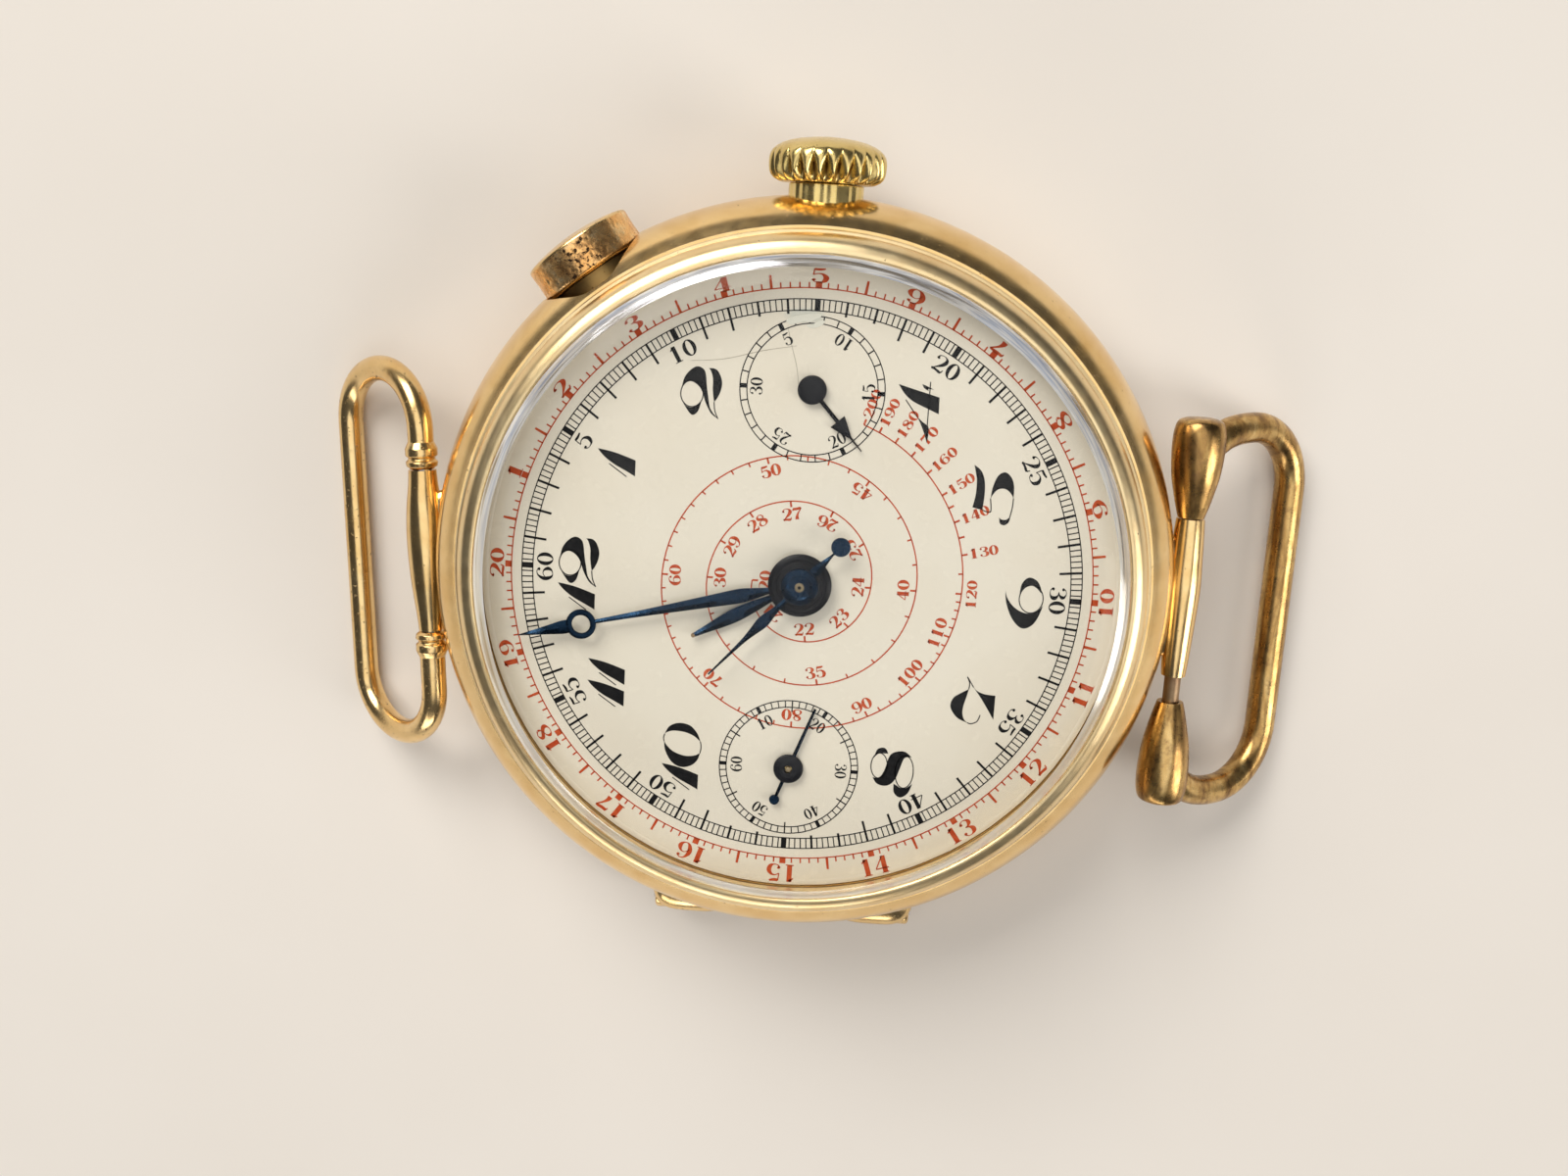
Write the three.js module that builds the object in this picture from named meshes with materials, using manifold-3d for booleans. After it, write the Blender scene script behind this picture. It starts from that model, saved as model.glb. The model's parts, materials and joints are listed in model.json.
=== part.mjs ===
// Wrist chronograph of about 1915 with a hinged case back and two hinged strap loops.
// Millimetres. The watch lies on its back: the origin is the centre of the flat of the case back,
// +Z comes out of the dial, +Y points to the crown at 3 o'clock and +X to 6 o'clock.

import * as THREE from 'three';
import { mergeVertices } from 'three/addons/utils/BufferGeometryUtils.js';
import Module from 'manifold-3d';

const wasm = await Module();
wasm.setup();

// ---------------------------------------------------------------- driving dimensions
const GAP = 0.04;                 // running and seating clearance between separate pieces
const AXIS_Z = 5.5;               // height of the stem, the pusher and the strap bars

const CASE_R = 19.3;              // widest radius of the case band
const BAND_BOTTOM = 1.67;
const BAND_TOP = 8.62;
const CASE_INNER_R = 15.55;       // wall round the movement
const DIAL_SEAT_R = 16.3;         // wall round the main plate and the dial
const SEAT_Z = 6.1;               // ledge that carries the main plate

const DIAL_Z = 8.5;               // top of the enamel
const DIAL_THICKNESS = 0.75;
const DIAL_R = 16.26;
const SUBDIAL_Y = 9.8;            // minute register at +Y, running seconds at -Y

const BEZEL_R = 17.42;
const BEZEL_INNER_R = 16.2;
const BEZEL_TOP = 10.15;
const CRYSTAL_R = 16.38;
const CRYSTAL_LEDGE = 9.3;
const CRYSTAL_TOP = 12.0;

const CROWN_R = 2.95;
const CROWN_FLUTES = 26;
const CROWN_START = 19.84;
const NECK_R = 1.9;
const NECK_START = 18.74;         // in a pocket of the band
const CROWN_END = 22.1;

const PUSHER_ANGLE = 37.5;        // degrees from the crown towards 12 o'clock
const PUSHER_R = 2.9;
const PUSHER_START = 18.65;
const PUSHER_SHOULDER = 20.4;
const PUSHER_END = 20.9;
const PUSHER_SEAT = 17.9;         // flat sunk into the band under the cap
const PUSHER_COLLAR_R = 2.45;     // fixed collar that the hollow cap slides over

const HINGE_Y = -19.75;           // axis of the case back's hinge
const HINGE_Z = 2.2;
const HINGE_R = 0.75;
const HINGE_PIN_R = 0.35;

const PLATE_BOTTOM = 6.15;        // main plate
const PLATE_TOP = 7.1;
const BRIDGE_BOTTOM = 3.45;       // bridges, on the side of the case back
const BRIDGE_TOP = 4.25;

// centres of the movement's wheels, in plan
const CENTRE = new THREE.Vector2(0, 0);
const FOURTH = new THREE.Vector2(0, -SUBDIAL_Y);
const RECORDER = new THREE.Vector2(0, SUBDIAL_Y);
const THIRD = meetingPoint(CENTRE, 5.3, FOURTH, 5.1);
const BARREL = new THREE.Vector2(-4.1, 4.1);
const ESCAPE = new THREE.Vector2(-3.9, -8.0);
const BALANCE = new THREE.Vector2(-9.3, -4.9);
const PALLET = ESCAPE.clone().lerp(BALANCE, 0.42);
const COUPLING_OFF = 12;          // degrees that the released coupling wheel stands off its line
const COUPLING = FOURTH.clone().add(polar(4.7, 90 - COUPLING_OFF));
const IDLER = new THREE.Vector2(0, 5.16);
const CROWN_WHEEL = new THREE.Vector2(-1.98, 8.18);
const COLUMN = new THREE.Vector2(-10.6, 5.6);

// ---------------------------------------------------------------- materials
const gold = new THREE.MeshStandardMaterial({ color: 0xe0b35a, roughness: 0.16, metalness: 1 });
const wornGold = new THREE.MeshStandardMaterial({ color: 0xa97f38, roughness: 0.35, metalness: 1 });
const enamel = new THREE.MeshStandardMaterial({ color: 0xe9e2d3, roughness: 0.18, metalness: 0 });
const glass = new THREE.MeshStandardMaterial({
  color: 0xffffff, roughness: 0.03, metalness: 0, transparent: true, opacity: 0.2,
});
const bluedSteel = new THREE.MeshStandardMaterial({ color: 0x1a2a52, roughness: 0.25, metalness: 1 });
const blackSteel = new THREE.MeshStandardMaterial({ color: 0x17171a, roughness: 0.4, metalness: 0.6 });
const steel = new THREE.MeshStandardMaterial({ color: 0xb9bcc0, roughness: 0.25, metalness: 1 });
const nickel = new THREE.MeshStandardMaterial({ color: 0xc9c2b0, roughness: 0.35, metalness: 1 });
const brass = new THREE.MeshStandardMaterial({ color: 0xc8a050, roughness: 0.3, metalness: 1 });

// ---------------------------------------------------------------- small helpers
function deg(angle) {
  return THREE.MathUtils.degToRad(angle);
}

function polar(radius, degrees) {
  return new THREE.Vector2(radius * Math.cos(deg(degrees)), radius * Math.sin(deg(degrees)));
}

// The point on the +X side that lies ra from a and rb from b.
function meetingPoint(a, ra, b, rb) {
  const across = b.clone().sub(a);
  const d = across.length();
  const along = (ra * ra - rb * rb + d * d) / (2 * d);
  const side = Math.sqrt(ra * ra - along * along);
  const unit = across.normalize();
  return new THREE.Vector2(
    a.x + unit.x * along - unit.y * side,
    a.y + unit.y * along + unit.x * side,
  );
}

// A closed mesh as a manifold solid: position only, shared vertices merged.
function solidOf(geometry) {
  const bare = geometry.clone();
  bare.deleteAttribute('normal');
  bare.deleteAttribute('uv');
  const merged = mergeVertices(bare, 1e-5);
  return new wasm.Manifold(new wasm.Mesh({
    numProp: 3,
    vertProperties: new Float32Array(merged.attributes.position.array),
    triVerts: new Uint32Array(merged.index.array),
  }));
}

function geometryOf(solid) {
  const mesh = solid.getMesh();
  const geometry = new THREE.BufferGeometry();
  geometry.setAttribute('position', new THREE.BufferAttribute(mesh.vertProperties, 3));
  geometry.setIndex(new THREE.BufferAttribute(mesh.triVerts, 1));
  geometry.computeVertexNormals();
  return geometry;
}

function join(...geometries) {
  return geometryOf(geometries.map(solidOf).reduce((whole, next) => whole.add(next)));
}

function cut(geometry, ...tools) {
  return geometryOf(tools.map(solidOf).reduce((left, tool) => left.subtract(tool), solidOf(geometry)));
}

function common(a, b) {
  return geometryOf(solidOf(a).intersect(solidOf(b)));
}

// A turned piece about Z, from [radius, z] points that run anticlockwise in the (radius, z) plane.
function turned(points, segments = 24) {
  const profile = points.map(([r, z]) => new THREE.Vector2(r, z));
  if (profile[0].x > 0 || profile[profile.length - 1].x > 0) {
    profile.push(profile[0].clone());
  }
  const geometry = new THREE.LatheGeometry(profile, segments);
  geometry.rotateX(Math.PI / 2);
  return facingOut(geometry);
}

// Turns the faces of a closed mesh outwards.
function facingOut(geometry) {
  const bare = geometry.index ? geometry.toNonIndexed() : geometry;
  const p = bare.attributes.position;
  const [a, b, c] = [new THREE.Vector3(), new THREE.Vector3(), new THREE.Vector3()];
  let volume = 0;
  for (let i = 0; i < p.count; i += 3) {
    a.fromBufferAttribute(p, i);
    b.fromBufferAttribute(p, i + 1);
    c.fromBufferAttribute(p, i + 2);
    volume += a.dot(b.cross(c));
  }
  if (volume < 0) {
    for (let i = 0; i < p.count; i += 3) {
      b.fromBufferAttribute(p, i + 1);
      c.fromBufferAttribute(p, i + 2);
      p.setXYZ(i + 1, c.x, c.y, c.z);
      p.setXYZ(i + 2, b.x, b.y, b.z);
    }
  }
  bare.deleteAttribute('normal');
  bare.deleteAttribute('uv');
  return mergeVertices(bare, 1e-5);
}

// A plain round bar about Z.
function bar(radius, z0, z1, segments = 10) {
  return turned([[0, z0], [radius, z0], [radius, z1], [0, z1]], segments);
}

// A flat piece of any outline between two heights.
function plate(shape, z0, z1, curveSegments = 6) {
  const geometry = new THREE.ExtrudeGeometry(shape, {
    depth: z1 - z0, bevelEnabled: false, curveSegments,
  });
  geometry.translate(0, 0, z0);
  return facingOut(geometry);
}

function block(x0, x1, y0, y1, z0, z1) {
  const geometry = new THREE.BoxGeometry(x1 - x0, y1 - y0, z1 - z0);
  geometry.translate((x0 + x1) / 2, (y0 + y1) / 2, (z0 + z1) / 2);
  return geometry;
}

function circle(radius) {
  const path = new THREE.Path();
  path.absarc(0, 0, radius, 0, 2 * Math.PI, true);
  return path;
}

// A flat strap with round ends from a to b.
function capsule(a, b, radius) {
  const along = Math.atan2(b.y - a.y, b.x - a.x);
  const shape = new THREE.Shape();
  shape.absarc(a.x, a.y, radius, along + Math.PI / 2, along + 1.5 * Math.PI, false);
  shape.absarc(b.x, b.y, radius, along - Math.PI / 2, along + Math.PI / 2, false);
  shape.closePath();
  return shape;
}

// A ring sector between two radii and two angles in degrees.
function sector(inner, outer, from, to) {
  const shape = new THREE.Shape();
  shape.absarc(0, 0, outer, deg(from), deg(to), false);
  shape.absarc(0, 0, inner, deg(to), deg(from), true);
  shape.closePath();
  return shape;
}

// A toothed outline. Fine wheels have pointed teeth, pinions have narrow flat leaves.
// A tooth's middle lies at the angle `phase`.
function toothed(teeth, pitchR, depth, phase = 0, holeR = 0) {
  const shape = new THREE.Shape();
  const step = (2 * Math.PI) / teeth;
  const tip = pitchR + depth * 0.45;
  const root = pitchR - depth * 0.55;
  const corners = teeth > 20
    ? [[0, tip], [0.5, root]]
    : [[-0.13, tip], [0.13, tip], [0.24, root], [0.76, root]];
  for (let i = 0; i < teeth; i++) {
    for (const [offset, r] of corners) {
      const angle = phase + (i + offset) * step;
      shape[i === 0 && offset === corners[0][0] ? 'moveTo' : 'lineTo'](
        r * Math.cos(angle), r * Math.sin(angle),
      );
    }
  }
  shape.closePath();
  if (holeR > 0) {
    shape.holes.push(circle(holeR));
  }
  return shape;
}

function angleTo(from, to) {
  return Math.atan2(to.y - from.y, to.x - from.x);
}

// Moves a geometry that was made about Z so that its axis lies along Y, its z becoming y.
function alongY(geometry) {
  return geometry.rotateX(-Math.PI / 2);
}

function alongX(geometry) {
  return geometry.rotateY(Math.PI / 2);
}

function at(geometry, x, y, z = 0) {
  return geometry.translate(x, y, z);
}

const watch = new THREE.Group();

function add(name, geometry, material, parent = watch) {
  const mesh = new THREE.Mesh(geometry, material);
  mesh.name = name;
  parent.add(mesh);
  return mesh;
}

// A piece turned or drawn about its own centre, set down at a place in plan.
function addAt(name, geometry, material, place, parent = watch) {
  const mesh = add(name, geometry, material, parent);
  mesh.position.set(place.x, place.y, 0);
  return mesh;
}

// ---------------------------------------------------------------- case
const BAND_SEGMENTS = 44;

// Outside of the band from the joint with the case back to the joint with the bezel.
const bandOutside = [
  [17.95, BAND_BOTTOM], [18.6, 2.4], [19.12, 3.7], [CASE_R, 5.3],
  [19.14, 6.6], [18.6, 7.8], [17.75, BAND_TOP],
];

function bandBody(grow = 0) {
  return turned([
    ...bandOutside.map(([r, z]) => [r + grow, z]),
    [DIAL_SEAT_R, BAND_TOP], [DIAL_SEAT_R, SEAT_Z],
    [CASE_INNER_R, SEAT_Z], [CASE_INNER_R, BAND_BOTTOM],
  ], BAND_SEGMENTS);
}

// Points a geometry made about Z outwards along the pusher's axis.
function alongPusher(geometry) {
  alongY(geometry);
  geometry.rotateZ(deg(PUSHER_ANGLE));
  return geometry.translate(0, 0, AXIS_Z);
}

const TUBE_R = 1.1;
const PUSHER_TUBE_R = 1.0;

function makeCaseBand() {
  const hingeEars = [-1, 1].map((side) => {
    const ear = join(
      alongX(bar(HINGE_R, -2.1, 2.1, 16)).translate(side * 5.1, HINGE_Y, HINGE_Z),
      block(side * 5.1 - 2.1, side * 5.1 + 2.1, HINGE_Y, -16.4, HINGE_Z - 0.15, HINGE_Z + 0.75),
    );
    return cut(ear, bar(CASE_INNER_R + 0.6, 0, 5, BAND_SEGMENTS));
  });
  return cut(
    join(bandBody(), ...hingeEars),
    alongX(bar(HINGE_PIN_R + GAP, -8, 8)).translate(0, HINGE_Y, HINGE_Z),
    at(alongY(bar(TUBE_R + GAP, 15, 20, 16)), 0, 0, AXIS_Z),
    at(alongY(bar(NECK_R + GAP, NECK_START - GAP, 24, 24)), 0, 0, AXIS_Z),
    alongPusher(bar(PUSHER_TUBE_R + GAP, 14, 20, 16)),
    alongPusher(bar(PUSHER_R + 0.15, PUSHER_SEAT, 24, 24)),
  );
}

function makeBezel() {
  return turned([
    [BEZEL_INNER_R, BAND_TOP + GAP], [BEZEL_R + 0.2, BAND_TOP + GAP], [BEZEL_R, 9.5], [17.3, BEZEL_TOP],
    [CRYSTAL_R + GAP, BEZEL_TOP], [CRYSTAL_R + GAP, CRYSTAL_LEDGE - GAP],
    [BEZEL_INNER_R, CRYSTAL_LEDGE - GAP],
  ], BAND_SEGMENTS);
}

function makeCrystal() {
  return turned([
    [0, 10.95], [8.5, 10.6], [15.6, CRYSTAL_LEDGE], [CRYSTAL_R, CRYSTAL_LEDGE],
    [CRYSTAL_R, 10.2], [15.2, 10.85], [8.5, 11.7], [0, CRYSTAL_TOP],
  ], 40);
}

function makeDial() {
  const top = DIAL_Z;
  return cut(
    turned([[0, top - DIAL_THICKNESS], [DIAL_R, top - DIAL_THICKNESS], [DIAL_R, top], [0, top]], BAND_SEGMENTS),
    bar(1.0, 7, 9, 20),
    at(bar(0.35, 7, 9), RECORDER.x, RECORDER.y),
    at(bar(0.35, 7, 9), FOURTH.x, FOURTH.y),
  );
}

function makeBackCover() {
  const shell = turned([
    [0, 0], [13.5, 0], [16.2, 0.32], [17.5, 0.85], [17.9, BAND_BOTTOM - GAP],
    [17.2, BAND_BOTTOM - GAP], [16.6, 1.1], [15.4, 0.85], [13.2, 0.6], [0, 0.6],
  ], 36);
  const knuckle = join(
    alongX(bar(HINGE_R, -2.94, 2.94, 16)).translate(0, HINGE_Y, HINGE_Z),
    block(-2.94, 2.94, HINGE_Y, -17.2, 0.95, 1.6),
  );
  return cut(
    join(shell, knuckle),
    alongX(bar(HINGE_PIN_R + GAP, -8, 8)).translate(0, HINGE_Y, HINGE_Z),
  );
}

add('case_band', makeCaseBand(), gold);
add('bezel', makeBezel(), gold);
add('crystal', makeCrystal(), glass);
add('dial', makeDial(), enamel);
add('back_cover', makeBackCover(), gold);
add('back_hinge_pin', alongX(bar(HINGE_PIN_R, -7.3, 7.3)).translate(0, HINGE_Y, HINGE_Z), steel);

// ---------------------------------------------------------------- crown and winding stem
const STEM_R = 0.55;

function makeCrown() {
  const fluted = new THREE.Shape();
  const step = (2 * Math.PI) / CROWN_FLUTES;
  for (let i = 0; i < CROWN_FLUTES; i++) {
    const ridge = i * step;
    const groove = ridge + step / 2;
    fluted[i === 0 ? 'moveTo' : 'lineTo'](CROWN_R * Math.cos(ridge), CROWN_R * Math.sin(ridge));
    fluted.lineTo(0.91 * CROWN_R * Math.cos(groove), 0.91 * CROWN_R * Math.sin(groove));
  }
  fluted.closePath();
  const dome = turned([
    [0, CROWN_START], [2.45, CROWN_START], [CROWN_R, 20.3], [CROWN_R, 21.1],
    [2.5, 21.75], [1.4, 22.02], [0, CROWN_END],
  ], 26);
  const head = common(plate(fluted, CROWN_START, CROWN_END), dome);
  return cut(head, bar(STEM_R + GAP, CROWN_START - 1, CROWN_START + 1.2));
}

const crownGroup = new THREE.Group();
crownGroup.position.set(0, 0, AXIS_Z);
crownGroup.rotation.x = -Math.PI / 2;
watch.add(crownGroup);
add('crown', makeCrown(), gold, crownGroup);
add('winding_stem', bar(STEM_R, 11.6, CROWN_START + 1.15), steel, crownGroup);
add('crown_tube', turned([
  [STEM_R + 0.06, 15.96], [TUBE_R, 15.96], [TUBE_R, NECK_START], [NECK_R, NECK_START],
  [NECK_R, CROWN_START - 0.05], [STEM_R + 0.06, CROWN_START - 0.05],
], 24), gold, crownGroup);
add('clutch_pinion', cut(
  join(bar(0.78, 12.4, 14.4, 16), plate(toothed(12, 0.92, 0.24), 13.7, 14.4)),
  bar(STEM_R + GAP, 12, 15, 16),
), steel, crownGroup);

// ---------------------------------------------------------------- chronograph pusher
const PUSHER_STEM_R = 0.5;

const pusherGroup = new THREE.Group();
pusherGroup.position.set(0, 0, AXIS_Z);
pusherGroup.rotation.set(-Math.PI / 2, 0, deg(PUSHER_ANGLE), 'ZYX');
watch.add(pusherGroup);
add('pusher_cap', cut(
  turned([
    [0, PUSHER_START], [2.8, PUSHER_START], [PUSHER_R, 19.0], [PUSHER_R, PUSHER_SHOULDER],
    [2.5, 20.57], [1.4, 20.81], [0, PUSHER_END],
  ], 24),
  bar(PUSHER_COLLAR_R + 0.1, 18, PUSHER_START + 0.75, 24),
  bar(PUSHER_STEM_R + GAP, 18, 20.2),
), wornGold, pusherGroup);
add('pusher_stem', bar(PUSHER_STEM_R, 14.47, 20.15), steel, pusherGroup);
add('pusher_tube', turned([
  [PUSHER_STEM_R + 0.06, 15.96], [PUSHER_TUBE_R, 15.96], [PUSHER_TUBE_R, PUSHER_SEAT + GAP],
  [PUSHER_COLLAR_R, PUSHER_SEAT + GAP], [PUSHER_COLLAR_R, PUSHER_START],
  [PUSHER_STEM_R + 0.06, PUSHER_START],
], 24), gold, pusherGroup);

// ---------------------------------------------------------------- strap loops
const WIRE_SIDES = 8;
const SLEEVE_BORE = 0.5;
const SADDLE_HALF = 3.5;
const PIN_R = 0.43;

// Lets a path drawn in a plane serve as the spine of a bent wire.
class FlatCurve extends THREE.Curve {
  constructor(path) {
    super();
    this.path = path;
  }

  getPoint(t) {
    const p = this.path.getPoint(t);
    return new THREE.Vector3(p.x, p.y, 0);
  }
}

function wire(path, radius, steps) {
  const section = new THREE.Shape();
  for (let i = 0; i < WIRE_SIDES; i++) {
    const p = polar(radius, (i * 360) / WIRE_SIDES);
    section[i === 0 ? 'moveTo' : 'lineTo'](p.x, p.y);
  }
  section.closePath();
  return facingOut(new THREE.ExtrudeGeometry(section, {
    steps, extrudePath: new FlatCurve(path),
  }));
}

// A spindle-shaped sleeve soldered to the band by a saddle on its inner side. Its bore lies
// along the group's own Y. `side` is -1 at 12 o'clock and +1 at 6 o'clock.
function makeSleeve(group, side, half, middleR) {
  const inward = -side;
  const spindle = alongY(turned([
    [SLEEVE_BORE, -half], [0.64, -half], [middleR - 0.08, -half * 0.35],
    [middleR, half * 0.15], [middleR - 0.05, half * 0.5], [0.74, half], [SLEEVE_BORE, half],
  ], 16));
  const saddle = cut(
    block(Math.min(0, inward * 2), Math.max(0, inward * 2), -SADDLE_HALF, SADDLE_HALF, -0.55, 0.55),
    alongY(bar(SLEEVE_BORE + 0.1, -5, 5)),
  );
  group.updateMatrix();
  const bandHere = bandOutsideSolid().applyMatrix4(group.matrix.clone().invert());
  return cut(join(spindle, saddle), bandHere);
}

function bandOutsideSolid() {
  return turned([
    [0, BAND_BOTTOM], ...bandOutside.map(([r, z]) => [r + GAP, z]), [0, BAND_TOP],
  ], BAND_SEGMENTS);
}

// 12 o'clock: a closed oval of wire that is broken by the sleeve, with a collar at each end.
const SLEEVE_12_HALF = 4.3;
const LOOP_12_WIRE_R = 0.67;
const LOOP_12_DEPTH = 7.05;
const LOOP_12_HANG = 43.2;        // degrees below level, so that the bar rests with the case back
const strap12 = new THREE.Group();
strap12.position.set(-19.9, -0.2, AXIS_Z);
strap12.rotation.z = deg(4);
watch.add(strap12);

function makeLoop12() {
  const half = LOOP_12_DEPTH / 2;
  const path = new THREE.Path();
  path.moveTo(0, SLEEVE_12_HALF + 0.6);
  path.lineTo(0, 6.4);
  path.absellipse(-half, 6.4, half, 3.05, 0, Math.PI, false);
  path.lineTo(-LOOP_12_DEPTH, -7.6);
  path.absellipse(-half, -7.6, half, 3.0, Math.PI, 2 * Math.PI, false);
  path.lineTo(0, -SLEEVE_12_HALF - 0.6);
  const collars = [1, -1].map((end) => alongY(turned([
    [0, SLEEVE_12_HALF + 0.06], [0.66, SLEEVE_12_HALF + 0.06], [0.84, SLEEVE_12_HALF + 0.4],
    [0.84, SLEEVE_12_HALF + 1.1], [0.68, SLEEVE_12_HALF + 1.5], [0, SLEEVE_12_HALF + 1.5],
  ].map(([r, z]) => [r, end * z]), 12)));
  const whole = join(wire(path, LOOP_12_WIRE_R, 28), ...collars);
  return cut(whole, alongY(bar(PIN_R + GAP, -SLEEVE_12_HALF - 1.1, SLEEVE_12_HALF + 1.1)));
}

const swing12 = new THREE.Group();
swing12.rotation.y = deg(-LOOP_12_HANG);
strap12.add(swing12);
add('strap_sleeve_12', makeSleeve(strap12, -1, SLEEVE_12_HALF, 1), gold, strap12);
add('strap_loop_12', makeLoop12(), gold, swing12);
add('strap_pin_12', alongY(bar(PIN_R, -SLEEVE_12_HALF - 1.05, SLEEVE_12_HALF + 1.05)), steel, swing12);

// 6 o'clock: a later loop, a U of wire soldered into two long cones on a plain pin.
const SLEEVE_6_HALF = 4.18;
const LOOP_6_WIRE_R = 0.8;
const LOOP_6_DEPTH = 7.7;
const LOOP_6_HANG = 37.5;
const CONE_UPPER = [SLEEVE_6_HALF + 0.06, 9.4];
const CONE_LOWER = [5.62, 11.2];
const strap6 = new THREE.Group();
strap6.position.set(19.88, 0, AXIS_Z);
watch.add(strap6);

// A teardrop cone about Y: small at `from`, widest shortly before its rounded end `to`.
function cone([from, to], end, grow = 0) {
  const length = to - from;
  return alongY(turned([
    [0, from - grow], [0.7 + grow, from - grow], [0.98 + grow, from + 0.2 * length],
    [1.22 + grow, from + 0.4 * length], [1.34 + grow, from + 0.65 * length],
    [1.32 + grow, from + 0.85 * length], [1.12 + grow, to - 0.25], [0.7 + grow, to + grow],
    [0, to + grow],
  ].map(([r, z]) => [r, end * z]), 12));
}

function makeCone(span, end) {
  const [from] = span;
  return cut(cone(span, end), alongY(bar(PIN_R + GAP, ...[end * (from - 1), end * (from + 2)].sort(
    (a, b) => a - b,
  ))));
}

function makeLoop6() {
  const corner = 3.4;
  const top = 8.85;
  const bottom = -11.1;
  const inner = LOOP_6_DEPTH - corner;
  const path = new THREE.Path();
  path.moveTo(0.5, top - 1.15);
  path.quadraticCurveTo(2, top, inner, top);
  path.absarc(inner, top - corner, corner, Math.PI / 2, 0, true);
  path.lineTo(LOOP_6_DEPTH, bottom + corner);
  path.absarc(inner, bottom + corner, corner, 0, -Math.PI / 2, true);
  path.quadraticCurveTo(2, bottom, 0.5, bottom + 1.3);
  return cut(wire(path, LOOP_6_WIRE_R, 30), cone(CONE_UPPER, 1, GAP), cone(CONE_LOWER, -1, GAP));
}

const swing6 = new THREE.Group();
swing6.rotation.y = deg(LOOP_6_HANG);
strap6.add(swing6);
add('strap_sleeve_6', makeSleeve(strap6, 1, SLEEVE_6_HALF, 0.9), gold, strap6);
add('strap_loop_6', makeLoop6(), wornGold, swing6);
add('strap_cone_6_upper', makeCone(CONE_UPPER, 1), wornGold, swing6);
add('strap_cone_6_lower', makeCone(CONE_LOWER, -1), wornGold, swing6);
add('strap_pin_6', alongY(bar(PIN_R, -CONE_LOWER[0] - 1.95, CONE_UPPER[0] + 1.95)), steel, swing6);

// ---------------------------------------------------------------- main plate and bridges
const FEET = {
  barrel: [polar(13.9, 106), polar(13.8, 165)],
  train: [polar(13.5, 300), polar(13.5, 10), polar(13.5, 60)],
  balance: [polar(14.2, 187)],
};

function hole(place, radius, z0 = 0, z1 = 12) {
  return at(bar(radius, z0, z1), place.x, place.y);
}

function makeMainPlate() {
  const disc = turned([
    [0, PLATE_BOTTOM], [15.9, PLATE_BOTTOM], [15.9, 7.7], [15.1, 7.7], [15.1, PLATE_TOP],
    [0, PLATE_TOP],
  ], 40);
  return cut(
    disc,
    hole(CENTRE, 0.62), hole(FOURTH, 0.22), hole(RECORDER, 0.22),
    block(-1.3, 1.3, 11.2, 15.4, PLATE_BOTTOM - 1, PLATE_BOTTOM + 0.55),
  );
}

// A bridge with round feet that stand on the main plate and a screw seat over each foot.
function makeBridge(shape, feet, holes) {
  const body = plate(shape, BRIDGE_BOTTOM, BRIDGE_TOP, 8);
  const legs = feet.map((p) => at(bar(0.8, BRIDGE_TOP - 0.2, PLATE_BOTTOM - GAP, 8), p.x, p.y));
  const seats = feet.map((p) => hole(p, 0.4, BRIDGE_BOTTOM - 1, BRIDGE_BOTTOM + 0.6));
  return cut(join(body, ...legs), ...seats, ...holes.map(([p, r]) => hole(p, r)));
}

add('main_plate', makeMainPlate(), nickel);
add('barrel_bridge', makeBridge(
  sector(1.3, 15.2, 72, 179), FEET.barrel,
  [[BARREL, 0.5], [RECORDER, 0.3], [COLUMN, 0.6], [CROWN_WHEEL, 0.35]],
), nickel);
add('train_bridge', makeBridge(
  sector(1.3, 15.2, 237, 430), FEET.train, [[THIRD, 0.2], [FOURTH, 0.3], [ESCAPE, 0.2]],
), nickel);
add('balance_cock', makeBridge(
  sector(6.5, 15.2, 182, 234), FEET.balance, [[BALANCE, 0.25]],
), nickel);

const screwPlaces = {
  barrel_bridge_screw_1: FEET.barrel[0],
  barrel_bridge_screw_2: FEET.barrel[1],
  train_bridge_screw_1: FEET.train[0],
  train_bridge_screw_2: FEET.train[1],
  train_bridge_screw_3: FEET.train[2],
  balance_cock_screw: FEET.balance[0],
};
for (const [name, place] of Object.entries(screwPlaces)) {
  const head = cut(
    turned([[0, 3.0], [0.7, 3.0], [0.7, 3.41], [0.34, 3.41], [0.34, 4.0], [0, 4.0]], 12),
    block(-1, 1, -0.1, 0.1, 2.9, 3.12),
  );
  addAt(name, head, bluedSteel, place);
}

// ---------------------------------------------------------------- going train
const CENTRE_TEETH = 48;
const THIRD_TEETH = 45;
const FOURTH_TEETH = 60;
const PINION_LEAVES = 6;
const BARREL_TEETH = 48;
const CENTRE_LEAVES = 8;
const TOOTH = 0.26;

// A pinion's phase that puts a gap opposite a wheel's tooth on the line between the two.
function gapPhase(pinionPlace, wheelPlace, leaves) {
  return angleTo(pinionPlace, wheelPlace) + Math.PI / leaves;
}

// Mainspring barrel: a drum with a toothed rim and its arbor.
addAt('mainspring_barrel', join(
  bar(4.5, 4.55, 5.5, 28),
  plate(toothed(BARREL_TEETH, 4.97, TOOTH, angleTo(BARREL, CENTRE)), 4.85, 5.1),
  bar(0.42, 4.4, 6.1),
), brass, BARREL);

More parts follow.
